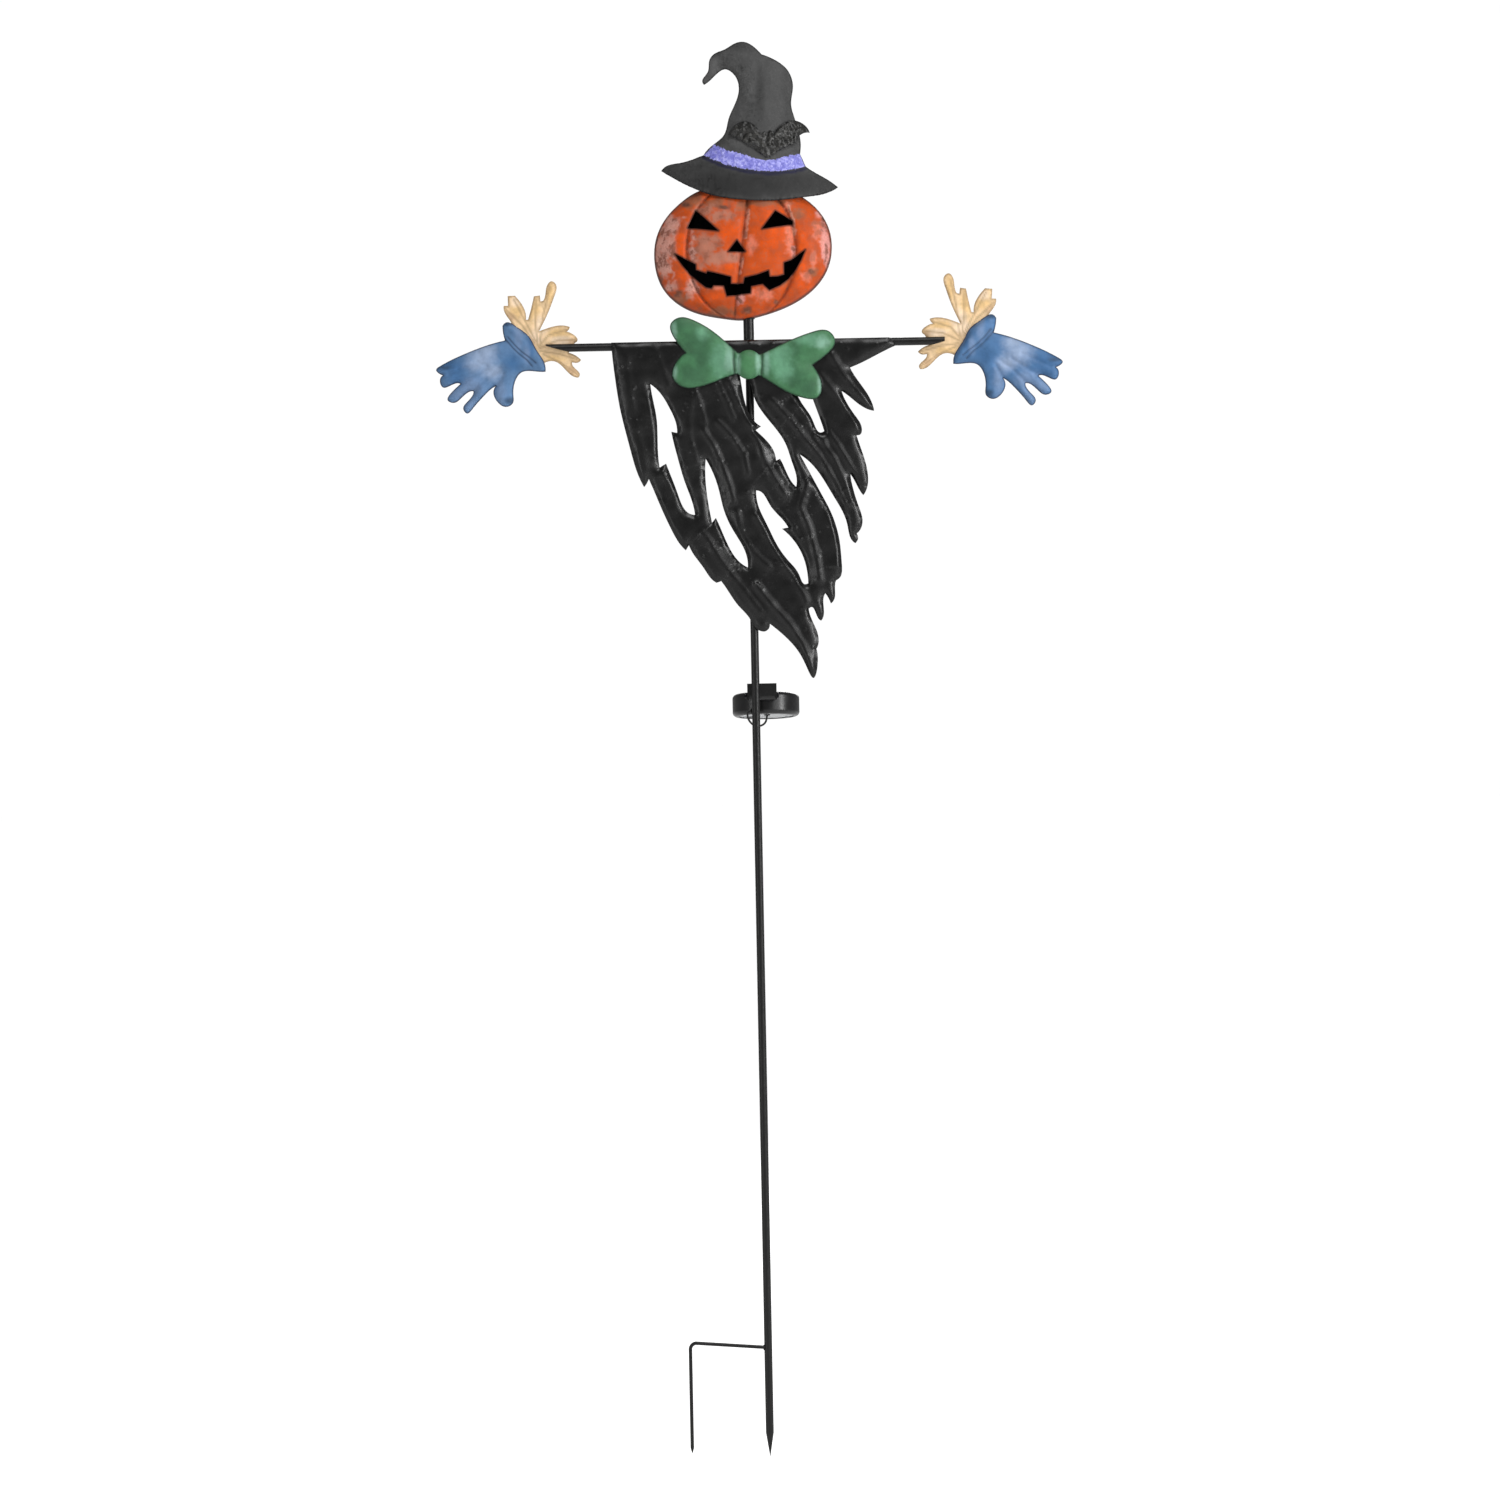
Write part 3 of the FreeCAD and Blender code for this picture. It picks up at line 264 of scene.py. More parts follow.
# %% Painted steel in any colour
def painted_steel(name, dark, light, rim, by_hand=False, cloud=9, peel=0.9, dimple=7,
                  pimple=0, rough=(0.42, 0.6), gloss=0.4, rim_wide=1.6, depth=0.25):
    """Paint over sheet steel. cloud, peel and dimple are the sizes of marks in mm, and pimple is
    how far apart the odd raised drips are, or 0 for none."""
    made, tree = new_material(name)
    place = add(tree, "TexCoord", output="Object")
    clouds = add(tree, "TexNoise", {"Vector": place, "Scale": every(cloud), "Detail": 5.0,
                                    "Roughness": 0.62})
    body = add(tree, "ValToRGB", {"Fac": clouds},
               stops=[(0.34, linear(dark)), (0.68, linear(light))])
    if by_hand:
        dabs = add(tree, "Attribute", output="Color", attribute_name="dabs")
        body = add(tree, "Mix", {0: 1.0, 6: dabs, 7: body}, output=2, data_type="RGBA",
                   blend_type="MULTIPLY")
    edge = add(tree, "Attribute", output="Fac", attribute_name="edge_mm")
    worn = add(tree, "TexNoise", {"Vector": place, "Scale": every(3), "Detail": 3.0})
    reach = add(tree, "Math", {0: worn, 1: 1.6, 2: 0.2}, operation="MULTIPLY_ADD")
    near = add(tree, "MapRange", {"Value": edge, "From Min": 0.2, "From Max": rim_wide,
                                  "To Min": 1.0, "To Max": 0.0})
    near = add(tree, "Math", {0: near, 1: reach}, operation="MULTIPLY", use_clamp=True)
    coat = add(tree, "Mix", {0: near, 6: body, 7: linear(rim)}, output=2, data_type="RGBA")
    # The floor of a narrow valley is darkened towards the rim colour here: painted shade in the
    # crease.
    seam = add(tree, "Attribute", output="Fac", attribute_name="groove")
    seam = add(tree, "Math", {0: seam, 1: 0.75}, operation="MULTIPLY", use_clamp=True)
    coat = add(tree, "Mix", {0: seam, 6: coat, 7: linear(rim)}, output=2, data_type="RGBA")
    sheen = add(tree, "MapRange", {"Value": clouds, "To Min": rough[0], "To Max": rough[1]})
    fine = add(tree, "TexNoise", {"Vector": place, "Scale": every(peel), "Detail": 2.0})
    broad = add(tree, "TexNoise", {"Vector": place, "Scale": every(dimple), "Detail": 1.0})
    relief = add(tree, "Math", {0: broad, 1: 3.0, 2: fine}, operation="MULTIPLY_ADD")
    if pimple:
        apart = add(tree, "TexVoronoi", {"Vector": place, "Scale": every(pimple)},
                    output="Distance")
        drip = add(tree, "MapRange", {"Value": apart, "From Min": 0.0, "From Max": 0.24,
                                      "To Min": 12.0, "To Max": 0.0},
                   interpolation_type="SMOOTHSTEP")
        relief = add(tree, "Math", {0: relief, 1: drip}, operation="ADD")
    bump = add(tree, "Bump", {"Height": relief, "Strength": depth, "Distance": 0.25 * MM})
    set_surface(tree, {"Base Color": coat, "Roughness": sheen, "Normal": bump,
                       "Specular IOR Level": gloss})
    return made


# %% The painted finishes
HAND_PAINTED = {"dark": "dcdcdc", "light": "ffffff", "by_hand": True}
FINISHES = {
    # black powder coat on poles and bracket: dense, satin, a little lighter where it is thick
    "satin_black_powder_coat": painted_steel(
        "satin_black_powder_coat", "0a0a0a", "141414", "0a0a0a", rough=(0.3, 0.42), gloss=0.4),
    # the cloak has the same black in a glossier brushed coat, with hammer dimples
    "brushed_black_enamel": painted_steel(
        "brushed_black_enamel", "040404", "0b0b0b", "040404", rough=(0.27, 0.36), gloss=0.42,
        pimple=13, depth=0.16),
    # green, blue and straw enamels are sponged and rubbed by hand
    "sponged_green_enamel": painted_steel(
        "sponged_green_enamel", rim="1b3626", cloud=12, gloss=0.35, **HAND_PAINTED),
    "rubbed_blue_enamel": painted_steel(
        "rubbed_blue_enamel", rim="222d45", cloud=12, gloss=0.3, **HAND_PAINTED),
    "straw_ochre_paint": painted_steel(
        "straw_ochre_paint", rim="a88c68", cloud=8, rim_wide=2.6, gloss=0.2, **HAND_PAINTED),
    # matt charcoal on the hat, flat as felt
    "matt_charcoal_paint": painted_steel(
        "matt_charcoal_paint", rim="1c1c1c", cloud=12, rough=(0.6, 0.75), gloss=0.25,
        depth=0.15, **HAND_PAINTED),
}
print(len(FINISHES), "painted finishes")


# %% [markdown]
# Glitter is flakes stuck in lacquer. Voronoi cells stand for the flakes: each cell gets its own
# brightness, and a bump that tilts it a little. The brightest cells take a spark colour, which is
# a painted glint for a flake that catches the light. Real flakes are a few tenths of a millimetre
# wide, too fine to show, so they are drawn one and a half to two millimetres wide.

# %% Glitter
def glitter(name, ground, flake, spark, rim, lump, flake_size=1.5, share=0.55, bump_high=0.9):
    """Glitter lacquer: a ground colour, flakes over it and the odd bright spark, which is a painted
    glint.
    """
    made, tree = new_material(name)
    place = add(tree, "TexCoord", output="Object")
    lumps = add(tree, "TexNoise", {"Vector": place, "Scale": every(lump), "Detail": 3.0,
                                   "Roughness": 0.6})
    flakes = add(tree, "TexVoronoi", {"Vector": place, "Scale": every(flake_size)},
                 output="Color")
    pick = add(tree, "SeparateColor", {"Color": flakes})
    mixed = add(tree, "Math", {0: lumps, 1: 1 - share, 2: 0.0}, operation="MULTIPLY_ADD")
    level = add(tree, "Math", {0: pick, 1: share, 2: mixed}, operation="MULTIPLY_ADD")
    # The spark stop at the top of this ramp is a painted glint.
    coat = add(tree, "ValToRGB", {"Fac": level},
               stops=[(0.3, linear(ground)), (0.5, linear(flake)), (0.78, linear(spark))])
    edge = add(tree, "Attribute", output="Fac", attribute_name="edge_mm")
    near = add(tree, "MapRange", {"Value": edge, "From Min": 0.3, "From Max": 1.7,
                                  "To Min": 1.0, "To Max": 0.0})
    coat = add(tree, "Mix", {0: near, 6: coat, 7: linear(rim)}, output=2, data_type="RGBA")
    tilt = add(tree, "Math", {0: level, 1: lumps}, operation="ADD")
    bump = add(tree, "Bump", {"Height": tilt, "Strength": 0.8, "Distance": bump_high * MM})
    set_surface(tree, {"Base Color": coat, "Roughness": 0.38, "Normal": bump,
                       "Specular IOR Level": 0.6})
    return made


FINISHES["lilac_glitter_lacquer"] = glitter(
    "lilac_glitter_lacquer", "6c6cc4", "8484d8", "c0c0fc", "9494e0", lump=5, share=0.3,
    flake_size=2)
FINISHES["black_glitter_lacquer"] = glitter(
    "black_glitter_lacquer", "080808", "191816", "32312d", "080808", lump=6, share=0.3)


# %% [markdown]
# The pumpkin is base-coated orange, then sponged by hand with tan, rose and umber, and umber is
# left along its grooves. The pale rose dabs at the right rim and the light streaks beside the
# grooves are painted highlights. The dabs are laid on vertex by vertex as a colour attribute,
# because that is how a painter works: each dab has its own place. The material reads that colour
# and breaks it up with sponge marks, most where the dab is dusty and least where it is pure
# orange. The groove and edge attributes darken it; beside each groove's thin umber line the
# groove attribute adds a wider, fainter painted shade.

# %% Sponged pumpkin paint
pumpkin_paint, tree = new_material("sponged_pumpkin_paint")
place = add(tree, "TexCoord", output="Object")
dabs = add(tree, "Attribute", output="Color", attribute_name="dabs")
pores = add(tree, "TexNoise", {"Vector": place, "Scale": every(4.5), "Detail": 6.0,
                               "Roughness": 0.7})
deep = add(tree, "MapRange", {"Value": pores, "From Min": 0.36, "From Max": 0.64,
                              "To Min": 0.8, "To Max": 1.14})
sponged = add(tree, "Mix", {0: 1.0, 6: dabs, 7: deep}, output=2, data_type="RGBA",
              blend_type="MULTIPLY")
strong = add(tree, "SeparateColor", {"Color": dabs}, output=1, mode="HSV")
dusty = add(tree, "MapRange", {"Value": strong, "From Min": 0.93, "From Max": 0.65,
                               "To Min": 0.4, "To Max": 0.85})
blotch = add(tree, "TexNoise", {"Vector": place, "Scale": every(9), "Detail": 5.0,
                                "Roughness": 0.65})
brown = add(tree, "MapRange", {"Value": blotch, "From Min": 0.49, "From Max": 0.6})
brown = add(tree, "Math", {0: brown, 1: dusty}, operation="MULTIPLY")
sponged = add(tree, "Mix", {0: brown, 6: sponged, 7: linear("7a4634")}, output=2,
              data_type="RGBA")
pale = add(tree, "MapRange", {"Value": blotch, "From Min": 0.46, "From Max": 0.34,
                              "To Min": 0.0, "To Max": 0.4})
pale = add(tree, "Math", {0: pale, 1: dusty}, operation="MULTIPLY")
sponged = add(tree, "Mix", {0: pale, 6: sponged, 7: linear("d48e74")}, output=2,
              data_type="RGBA")
# Umber in each groove and a wider, fainter painted shade beside it darken the colour here.
groove = add(tree, "Attribute", output="Fac", attribute_name="groove")
groove_umber_and_shade = add(tree, "Math", {0: groove, 1: pores, 2: 0.0}, operation="MULTIPLY_ADD")
groove_umber_and_shade = add(tree, "MapRange", {"Value": groove_umber_and_shade, "From Min": 0.12, "From Max": 0.5,
                              "To Min": 0.0, "To Max": 0.85})
with_groove_umber_and_shade = add(tree, "Mix", {0: groove_umber_and_shade, 6: sponged, 7: linear("5a3020")}, output=2,
             data_type="RGBA")
edge = add(tree, "Attribute", output="Fac", attribute_name="edge_mm")
near = add(tree, "MapRange", {"Value": edge, "From Min": 0.5, "From Max": 2.2,
                              "To Min": 0.9, "To Max": 0.0})
coat = add(tree, "Mix", {0: near, 6: with_groove_umber_and_shade, 7: linear("3a2018")}, output=2, data_type="RGBA")
grain = add(tree, "TexNoise", {"Vector": place, "Scale": every(1.2), "Detail": 2.0})
relief = add(tree, "Math", {0: pores, 1: 2.0, 2: grain}, operation="MULTIPLY_ADD")
bump = add(tree, "Bump", {"Height": relief, "Strength": 0.3, "Distance": 0.4 * MM})
set_surface(tree, {"Base Color": coat, "Roughness": 0.5, "Normal": bump,
                   "Specular IOR Level": 0.2})
FINISHES["sponged_pumpkin_paint"] = pumpkin_paint

# %% Soot-black inside of the head
inside_paint, tree = new_material("flat_black_primer")
place = add(tree, "TexCoord", output="Object")
speck = add(tree, "TexNoise", {"Vector": place, "Scale": every(2.5), "Detail": 4.0})
coat = add(tree, "ValToRGB", {"Fac": speck},
           stops=[(0.3, linear("050506")), (0.7, linear("0c0d10"))])
bump = add(tree, "Bump", {"Height": speck, "Strength": 0.3, "Distance": 0.2 * MM})
set_surface(tree, {"Base Color": coat, "Roughness": 0.9, "Normal": bump,
                   "Specular IOR Level": 0.1})
FINISHES["flat_black_primer"] = inside_paint


# %% [markdown]
# The solar unit is moulded ABS with a fine spark-eroded grain. Rubber, battery film and the LED
# parts are simple moulded or printed plastics too, so one recipe serves them with other numbers.

# %% Moulded plastics
def moulded(name, colour, tint, rough, grain=0.5, depth=0.15, gloss=0.5, **more):
    """Injection-moulded plastic: nearly one colour, with a fine even grain."""
    made, tree = new_material(name)
    place = add(tree, "TexCoord", output="Object")
    flow = add(tree, "TexNoise", {"Vector": place, "Scale": every(18), "Detail": 3.0})
    coat = add(tree, "ValToRGB", {"Fac": flow},
               stops=[(0.35, linear(colour)), (0.7, linear(tint))])
    haze = add(tree, "MapRange", {"Value": flow, "To Min": rough - 0.05, "To Max": rough + 0.07})
    fine = add(tree, "TexNoise", {"Vector": place, "Scale": every(grain), "Detail": 2.0})
    bump = add(tree, "Bump", {"Height": fine, "Strength": depth, "Distance": 0.1 * MM})
    set_surface(tree, {"Base Color": coat, "Roughness": haze, "Normal": bump,
                       "Specular IOR Level": gloss, **more})
    return made


FINISHES["black_abs"] = moulded("black_abs", "0b0b0c", "151517", 0.3)
FINISHES["pale_grey_abs"] = moulded("pale_grey_abs", "a9abad", "bfc1c2", 0.45)
FINISHES["white_abs"] = moulded("white_abs", "dcdcd8", "ecece8", 0.4)
FINISHES["black_rubber"] = moulded("black_rubber", "0d0d0d", "1a1a1a", 0.62, grain=0.4,
                                   depth=0.3, gloss=0.4)
FINISHES["battery_film"] = moulded("battery_film", "2f6a3c", "3d8049", 0.3)
FINISHES["board_solder_mask"] = moulded("board_solder_mask", "1c5a34", "26703f", 0.35)
FINISHES["clear_polycarbonate"] = moulded("clear_polycarbonate", "f2f6f8", "ffffff", 0.12,
                                          depth=0.05, **{"Transmission Weight": 0.92})
FINISHES["clear_bulb_epoxy"] = moulded("clear_bulb_epoxy", "fff6d8", "ffffff", 0.1,
                                       depth=0.05, **{"Transmission Weight": 0.8})

# %% Silicon cell
# Cut polycrystalline silicon: dark blue grains that differ a little, under silver collector bars.
# The wave node repeats every 2 pi / 20 of its scale, so these bars are about 12.6 mm apart.
BAR_SCALE = every(2.0) / 20
cell, tree = new_material("silicon_cell")
place = add(tree, "TexCoord", output="Object")
bars = add(tree, "TexWave", {"Vector": place, "Scale": BAR_SCALE, "Distortion": 0.0},
           bands_direction="X")
crystal = add(tree, "TexVoronoi", {"Vector": place, "Scale": every(6)}, output="Color")
blue = add(tree, "Mix", {0: 0.12, 6: linear("10204a"), 7: crystal}, output=2,
           data_type="RGBA")
line = add(tree, "MapRange", {"Value": bars, "From Min": 0.93, "From Max": 0.98})
coat = add(tree, "Mix", {0: line, 6: blue, 7: linear("b9c0c8")}, output=2, data_type="RGBA")
set_surface(tree, {"Base Color": coat, "Roughness": 0.25, "Metallic": 0.3})
FINISHES["silicon_cell"] = cell
print("silicon cell finish made")


# %% Zinc plate on the fixings
def plated(name, dark, light):
    """Zinc plate, bright or chromated black, with faint spangle."""
    made, tree = new_material(name)
    place = add(tree, "TexCoord", output="Object")
    spangle = add(tree, "TexVoronoi", {"Vector": place, "Scale": every(1.4)}, output="Distance")
    scuff = add(tree, "TexNoise", {"Vector": place, "Scale": every(0.8), "Detail": 4.0})
    coat = add(tree, "ValToRGB", {"Fac": scuff},
               stops=[(0.35, linear(dark)), (0.7, linear(light))])
    haze = add(tree, "MapRange", {"Value": spangle, "To Min": 0.25, "To Max": 0.45})
    bump = add(tree, "Bump", {"Height": scuff, "Strength": 0.2, "Distance": 0.05 * MM})
    set_surface(tree, {"Base Color": coat, "Roughness": haze, "Metallic": 1.0, "Normal": bump})
    return made


FINISHES["bright_zinc_plate"] = plated("bright_zinc_plate", "8d9093", "c4c7ca")
FINISHES["black_zinc_plate"] = plated("black_zinc_plate", "18181a", "2c2c2f")
print(len(FINISHES), "finishes")


# %% [markdown]
# ## Painting by hand
# A garden ornament like this is painted by hand over a base coat. Each paint is a list of soft
# oval dabs and of brush strokes. They are laid on point by point in order, with ragged edges from
# noise, and kept as a colour attribute that the material reads.

# %% Dabs and strokes
def line_distance(x, height, line):
    """How far (x, height) is from a line of points, all in millimetres."""
    here, nearest = Vector((x, height)), 1e9
    for a, b in zip(line, line[1:]):
        a, run = Vector(a), Vector(b) - Vector(a)
        share = max(0, min(1, (here - a).dot(run) / run.length_squared))
        nearest = min(nearest, (here - a - run * share).length)
    return nearest


def covered(off, ragged, soft):
    """How much paint lies at off, where 1 is a dab's edge: 1 in its middle and 0 outside."""
    share = max(0, min(1, (1 + ragged - off) / soft + 0.5))
    return 0.93 * share * share * (3 - 2 * share)


def painter(base, dabs=None, strokes=None, soft=1.0, torn=1.0):
    """A function from (x, height) to a colour. dabs hold (x, height, half width, half height)
    under each paint, and strokes hold (points, half width). soft is how much an edge fades and
    torn how ragged it is."""
    base_coat = Vector(linear(base)[:3])

    def colour_at(x, height):
        colour = base_coat
        ragged = torn * (0.7 * noise.noise(Vector((x, height, 3)) / 7) +
                         0.5 * noise.noise(Vector((x, height, 9)) / 3))
        for code, places in (dabs or {}).items():
            bare = 1.0
            for cx, cv, wide, tall in places:
                off = math.hypot((x - cx) / wide, (height - cv) / tall)
                bare *= 1 - covered(off, ragged, soft)
            colour = colour.lerp(Vector(linear(code)[:3]), 1 - bare)
        for code, lines in (strokes or {}).items():
            bare = 1.0
            for points, wide in lines:
                off = line_distance(x, height, points) / wide
                bare *= 1 - covered(off, ragged, soft)
            colour = colour.lerp(Vector(linear(code)[:3]), 1 - bare)
        return (*colour, 1)

    return colour_at


# %% [markdown]
# ## Stamped sheets
# A pressed sheet is a flat outline whose inside stands proud of its edge. The outline is already in
# the CAD solid, so the piece starts from the front faces of a copy of that mesh. They are laid
# flat, cut into a fine grid so that there is something to move, and each point then rises by how
# far it is from the nearest edge. That is how a press works, and it follows any outline. Last,
# the sheet is extruded and its first layer moved back by the wall, for a square cut edge all round.

# %% Merged copies and the grid
def merged_copy(node):
    """A bmesh of a CAD node with its loose triangles joined up."""
    bm = bmesh.new()
    bm.from_mesh(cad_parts[node].data)
    bmesh.ops.remove_doubles(bm, verts=bm.verts, dist=0.002 * MM)
    return bm


def cut_to_grid(bm, step):
    """Cuts every face on planes step millimetres apart, across and up."""
    for axis in (0, 2):
        low = min(v.co[axis] for v in bm.verts)
        high = max(v.co[axis] for v in bm.verts)
        heading = Vector([axis == i for i in range(3)])
        for n in range(1, int((high - low) / (step * MM)) + 1):
            bmesh.ops.bisect_plane(bm, geom=bm.verts[:] + bm.edges[:] + bm.faces[:], dist=1e-7,
                                   plane_co=heading * (low + n * step * MM), plane_no=heading)


# %% How far each point is from an edge
def distance_to(edges, spacing=0.25):
    """A function that gives the distance in mm from a point to the nearest of these edges."""
    samples = []
    for edge in edges:
        a, b = (v.co for v in edge.verts)
        count = max(1, int((b - a).length / (spacing * MM)))
        samples += [a.lerp(b, i / count) for i in range(count + 1)]
    tree = KDTree(len(samples))
    for i, sample in enumerate(samples):
        tree.insert(sample, i)
    tree.balance()
    return lambda point: tree.find(point)[2] / MM


# %% An even grid inside a ragged border
def gridded_sheet(bm, step):
    """Turns a flat sheet of loose triangles into an even grid with a ragged border, and gives
    back the function for the distance to its edge."""
    bmesh.ops.dissolve_limit(bm, angle_limit=math.radians(0.5), use_dissolve_boundaries=False,
                             verts=bm.verts, edges=bm.edges)
    cut_to_grid(bm, step)
    rim = distance_to([e for e in bm.edges if e.is_boundary])
    crowded = [v for v in bm.verts if not v.is_boundary and rim(v.co) < 0.3 * step]
    bmesh.ops.dissolve_verts(bm, verts=crowded)
    bmesh.ops.triangulate(bm, faces=[f for f in bm.faces if len(f.verts) > 4])
    return rim


# %% The rise of the press
def pressed_over(distance, reach):
    """0 at an edge and 1 a reach away from it, along a parabola."""
    share = min(1, distance / reach)
    return share * (2 - share)


# %% Make an object of a finished bmesh
def placed(bm, name, finish, body, replaced=(), crease=35):
    """A smooth-shaded object that rides on a body and stands for some CAD nodes."""
    for face in bm.faces:
        face.smooth = True
    for edge in bm.edges:
        if edge.calc_face_angle(0) > math.radians(crease):
            edge.smooth = False
    mesh = bpy.data.meshes.new(name)
    bm.to_mesh(mesh)
    bm.free()
    mesh.materials.append(FINISHES[finish])
    made = bpy.data.objects.new(name, mesh)
    bpy.context.scene.collection.objects.link(made)
    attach(made, body)
    if replaced:
        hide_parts(*replaced)
    print(f"{name}: {len(mesh.polygons)} faces")
    return made


# %% Press a sheet
EDGE_ON = 0.1      # a face whose normal leans less than this to the front is part of the cut edge
# A valley narrower than this is darkened along its floor as painted shade.
SHADED_VALLEY_WIDE = 1.5    # a narrower valley is a seam
LID_CLEAR = 0.4    # room left under another sheet


def pressed(node, name, finish, levels, lines=(), step=2.0, wall=0.8, calm=2,
            paint=None, lump=None, side=-1, under=None):
    """A CAD sheet as a pressed one. levels are (rise, reach) pairs in mm that add up; lines are
    (points, width, height) ridges, or valleys where the height is negative, and a valley under
    1.5 mm wide is darkened along its floor as painted shade. lump is the (height, size) of an
    uneven surface. side is -1 for a sheet that bulges to the front and 1 for one that bulges to
    the back, and under is a CAD node that it has to stay clear of."""
    bm = merged_copy(node)
    solid = BVHTree.FromBMesh(bm)
    lid = BVHTree.FromBMesh(merged_copy(under)) if under else None
    behind = [f for f in bm.faces if f.normal.y * side < EDGE_ON]
    bmesh.ops.delete(bm, geom=behind, context="FACES")
    for v in bm.verts:
        v.co.y = 0
    rim = gridded_sheet(bm, step)
    edge_layer = bm.verts.layers.float.new("edge_mm")
    groove_layer = bm.verts.layers.float.new("groove")
    dab_layer = bm.verts.layers.float_color.new("dabs")
    for v in bm.verts:
        x, height = v.co.x / MM, (v.co.z - SHOULDER) / MM
        away = rim(v.co)
        rise = sum(high * pressed_over(away, reach) for high, reach in levels)
        for points, wide, high in lines:
            share = math.exp(-(line_distance(x, height, points) / wide) ** 2)
            rise += high * share * min(1, away / 3)
            # Narrow valleys are marked here for painted shade along their floor.
            if high < 0 and wide < SHADED_VALLEY_WIDE:
                v[groove_layer] = max(v[groove_layer], share)
        if lump:
            rise += lump[0] * noise.noise(Vector((x, height, 5)) / lump[1]) * min(1, away / 2)
        if paint:
            v[dab_layer] = paint(x, height)
        hit = solid.ray_cast(Vector((v.co.x, side, v.co.z)), Vector((0, -side, 0)))[0]
        base = hit or solid.find_nearest(v.co)[0]
        if lid:
            gap = lid.ray_cast(base, Vector((0, side, 0)))[3]
            rise = min(rise, gap / MM - LID_CLEAR) if gap else rise
        v.co.y = base.y + side * rise * MM
        v[edge_layer] = away
    free = [v for v in bm.verts if not v.is_boundary]
    for _ in range(calm):
        bmesh.ops.smooth_vert(bm, verts=free, factor=0.5, use_axis_y=True)
    for edge in bm.edges:
        edge.smooth = not edge.is_boundary
    back = bm.verts[:]
    bmesh.ops.extrude_face_region(bm, geom=bm.faces[:], use_keep_orig=True)
    bmesh.ops.translate(bm, verts=back, vec=(0, -side * wall * MM, 0))
    return placed(bm, name, finish, "figure", [node], crease=100)


# %% [markdown]
# ### Cloak
# The cloak is one sheet torn into strands, all pressed round. Raised creases run down the broad
# strands like folds of cloth, which is what catches the light on so dark a paint.

# %% Cloak
CLOAK_FOLDS = [
    # the left strands
    ([(-123, -11), (-120, -47), (-113, -91), (-107, -127)], 5, 1.2),
    ([(-102, -52), (-97, -84), (-94, -112)], 3, 1.6),
    ([(-93, -6), (-87, -22), (-82, -40)], 4, 1.2),
    ([(-89, -126), (-74, -150), (-61, -168)], 3, 1.6),
    ([(-90, -157), (-78, -179), (-67, -197)], 4, 1.4),
    ([(-58, -52), (-62, -72), (-61, -92), (-55, -116)], 4, 1.2),
    ([(-38, -175), (-29, -195), (-11, -219)], 2.5, 1.6),
    ([(-49, -188), (-39, -203), (-27, -223), (-10, -244), (6, -267)], 4, 1.8),
    # the middle, under the bow tie
    ([(-56, -41), (-50, -59), (-46, -77)], 3, 1.4),
    ([(-32, -37), (-24, -55), (-18, -73)], 3, 1.6),
    ([(-20, -37), (-12, -55), (-3, -73), (7, -94), (12, -112), (21, -130), (33, -150)], 4, 2.6),
    ([(-47, -85), (-37, -101), (-30, -117), (-22, -141), (-19, -157)], 3, 2.2),
    ([(-32, -77), (-17, -94), (-7, -111), (-4, -129)], 3, 2.0),
    ([(-16, -166), (-13, -186), (-1, -207), (15, -221)], 4, 1.8),
    ([(4, -171), (19, -197), (31, -219), (46, -241), (56, -268)], 4, 2.4),
    ([(2, -239), (19, -261), (35, -279), (48, -301), (56, -326)], 3.5, 2.6),
    # the right strands
    ([(81, -11), (93, -31), (105, -46), (117, -61)], 3.5, 2.0),
    ([(70, -33), (88, -53), (100, -69), (106, -86)], 4, 2.0),
    ([(74, -82), (88, -104), (102, -129), (106, -144)], 2.2, 2.0),
    ([(66, -91), (83, -116), (93, -139), (100, -159)], 2.5, 1.8),
    ([(22, -56), (40, -76), (51, -91), (67, -111), (82, -137), (94, -163)], 3, 2.2),
    ([(46, -60), (64, -79), (74, -97)], 4, 1.8),
    ([(25, -118), (34, -132), (42, -142)], 2.5, 1.6),
    ([(59, -119), (70, -135), (78, -153), (78, -176), (84, -202), (85, -222)], 4, 2.2),
    ([(56, -139), (48, -163), (57, -186), (63, -212), (66, -236)], 3.5, 2.4),
    ([(28, -167), (40, -181), (47, -201), (53, -222)], 3, 1.2),
]
pressed("cloak_sheet", "cloak", "brushed_black_enamel",
        levels=[(2.2, 6), (1.4, 14)], lines=CLOAK_FOLDS, lump=(0.8, 13), wall=0.9, calm=3,
        step=1.6, under="bow_wings")

# %% [markdown]
# ### Bow tie
# Two wings in one pressing, with a domed knot over their waist. Narrow valleys run where the
# wings would be gathered into the knot, and their dark colour is painted shadow beside the knot.

# %% Bow tie
BOW_GAPS = [
    ([(-15.0, 6), (-15.6, -18), (-14.4, -40)], 1.2, -2.4),
    ([(12.6, 6), (12.6, -18), (11.0, -45)], 1.2, -2.4),
    ([(-64, -8), (-52, -9)], 4, -1.0),
    ([(64, -22), (52, -22)], 4, -1.0),
]
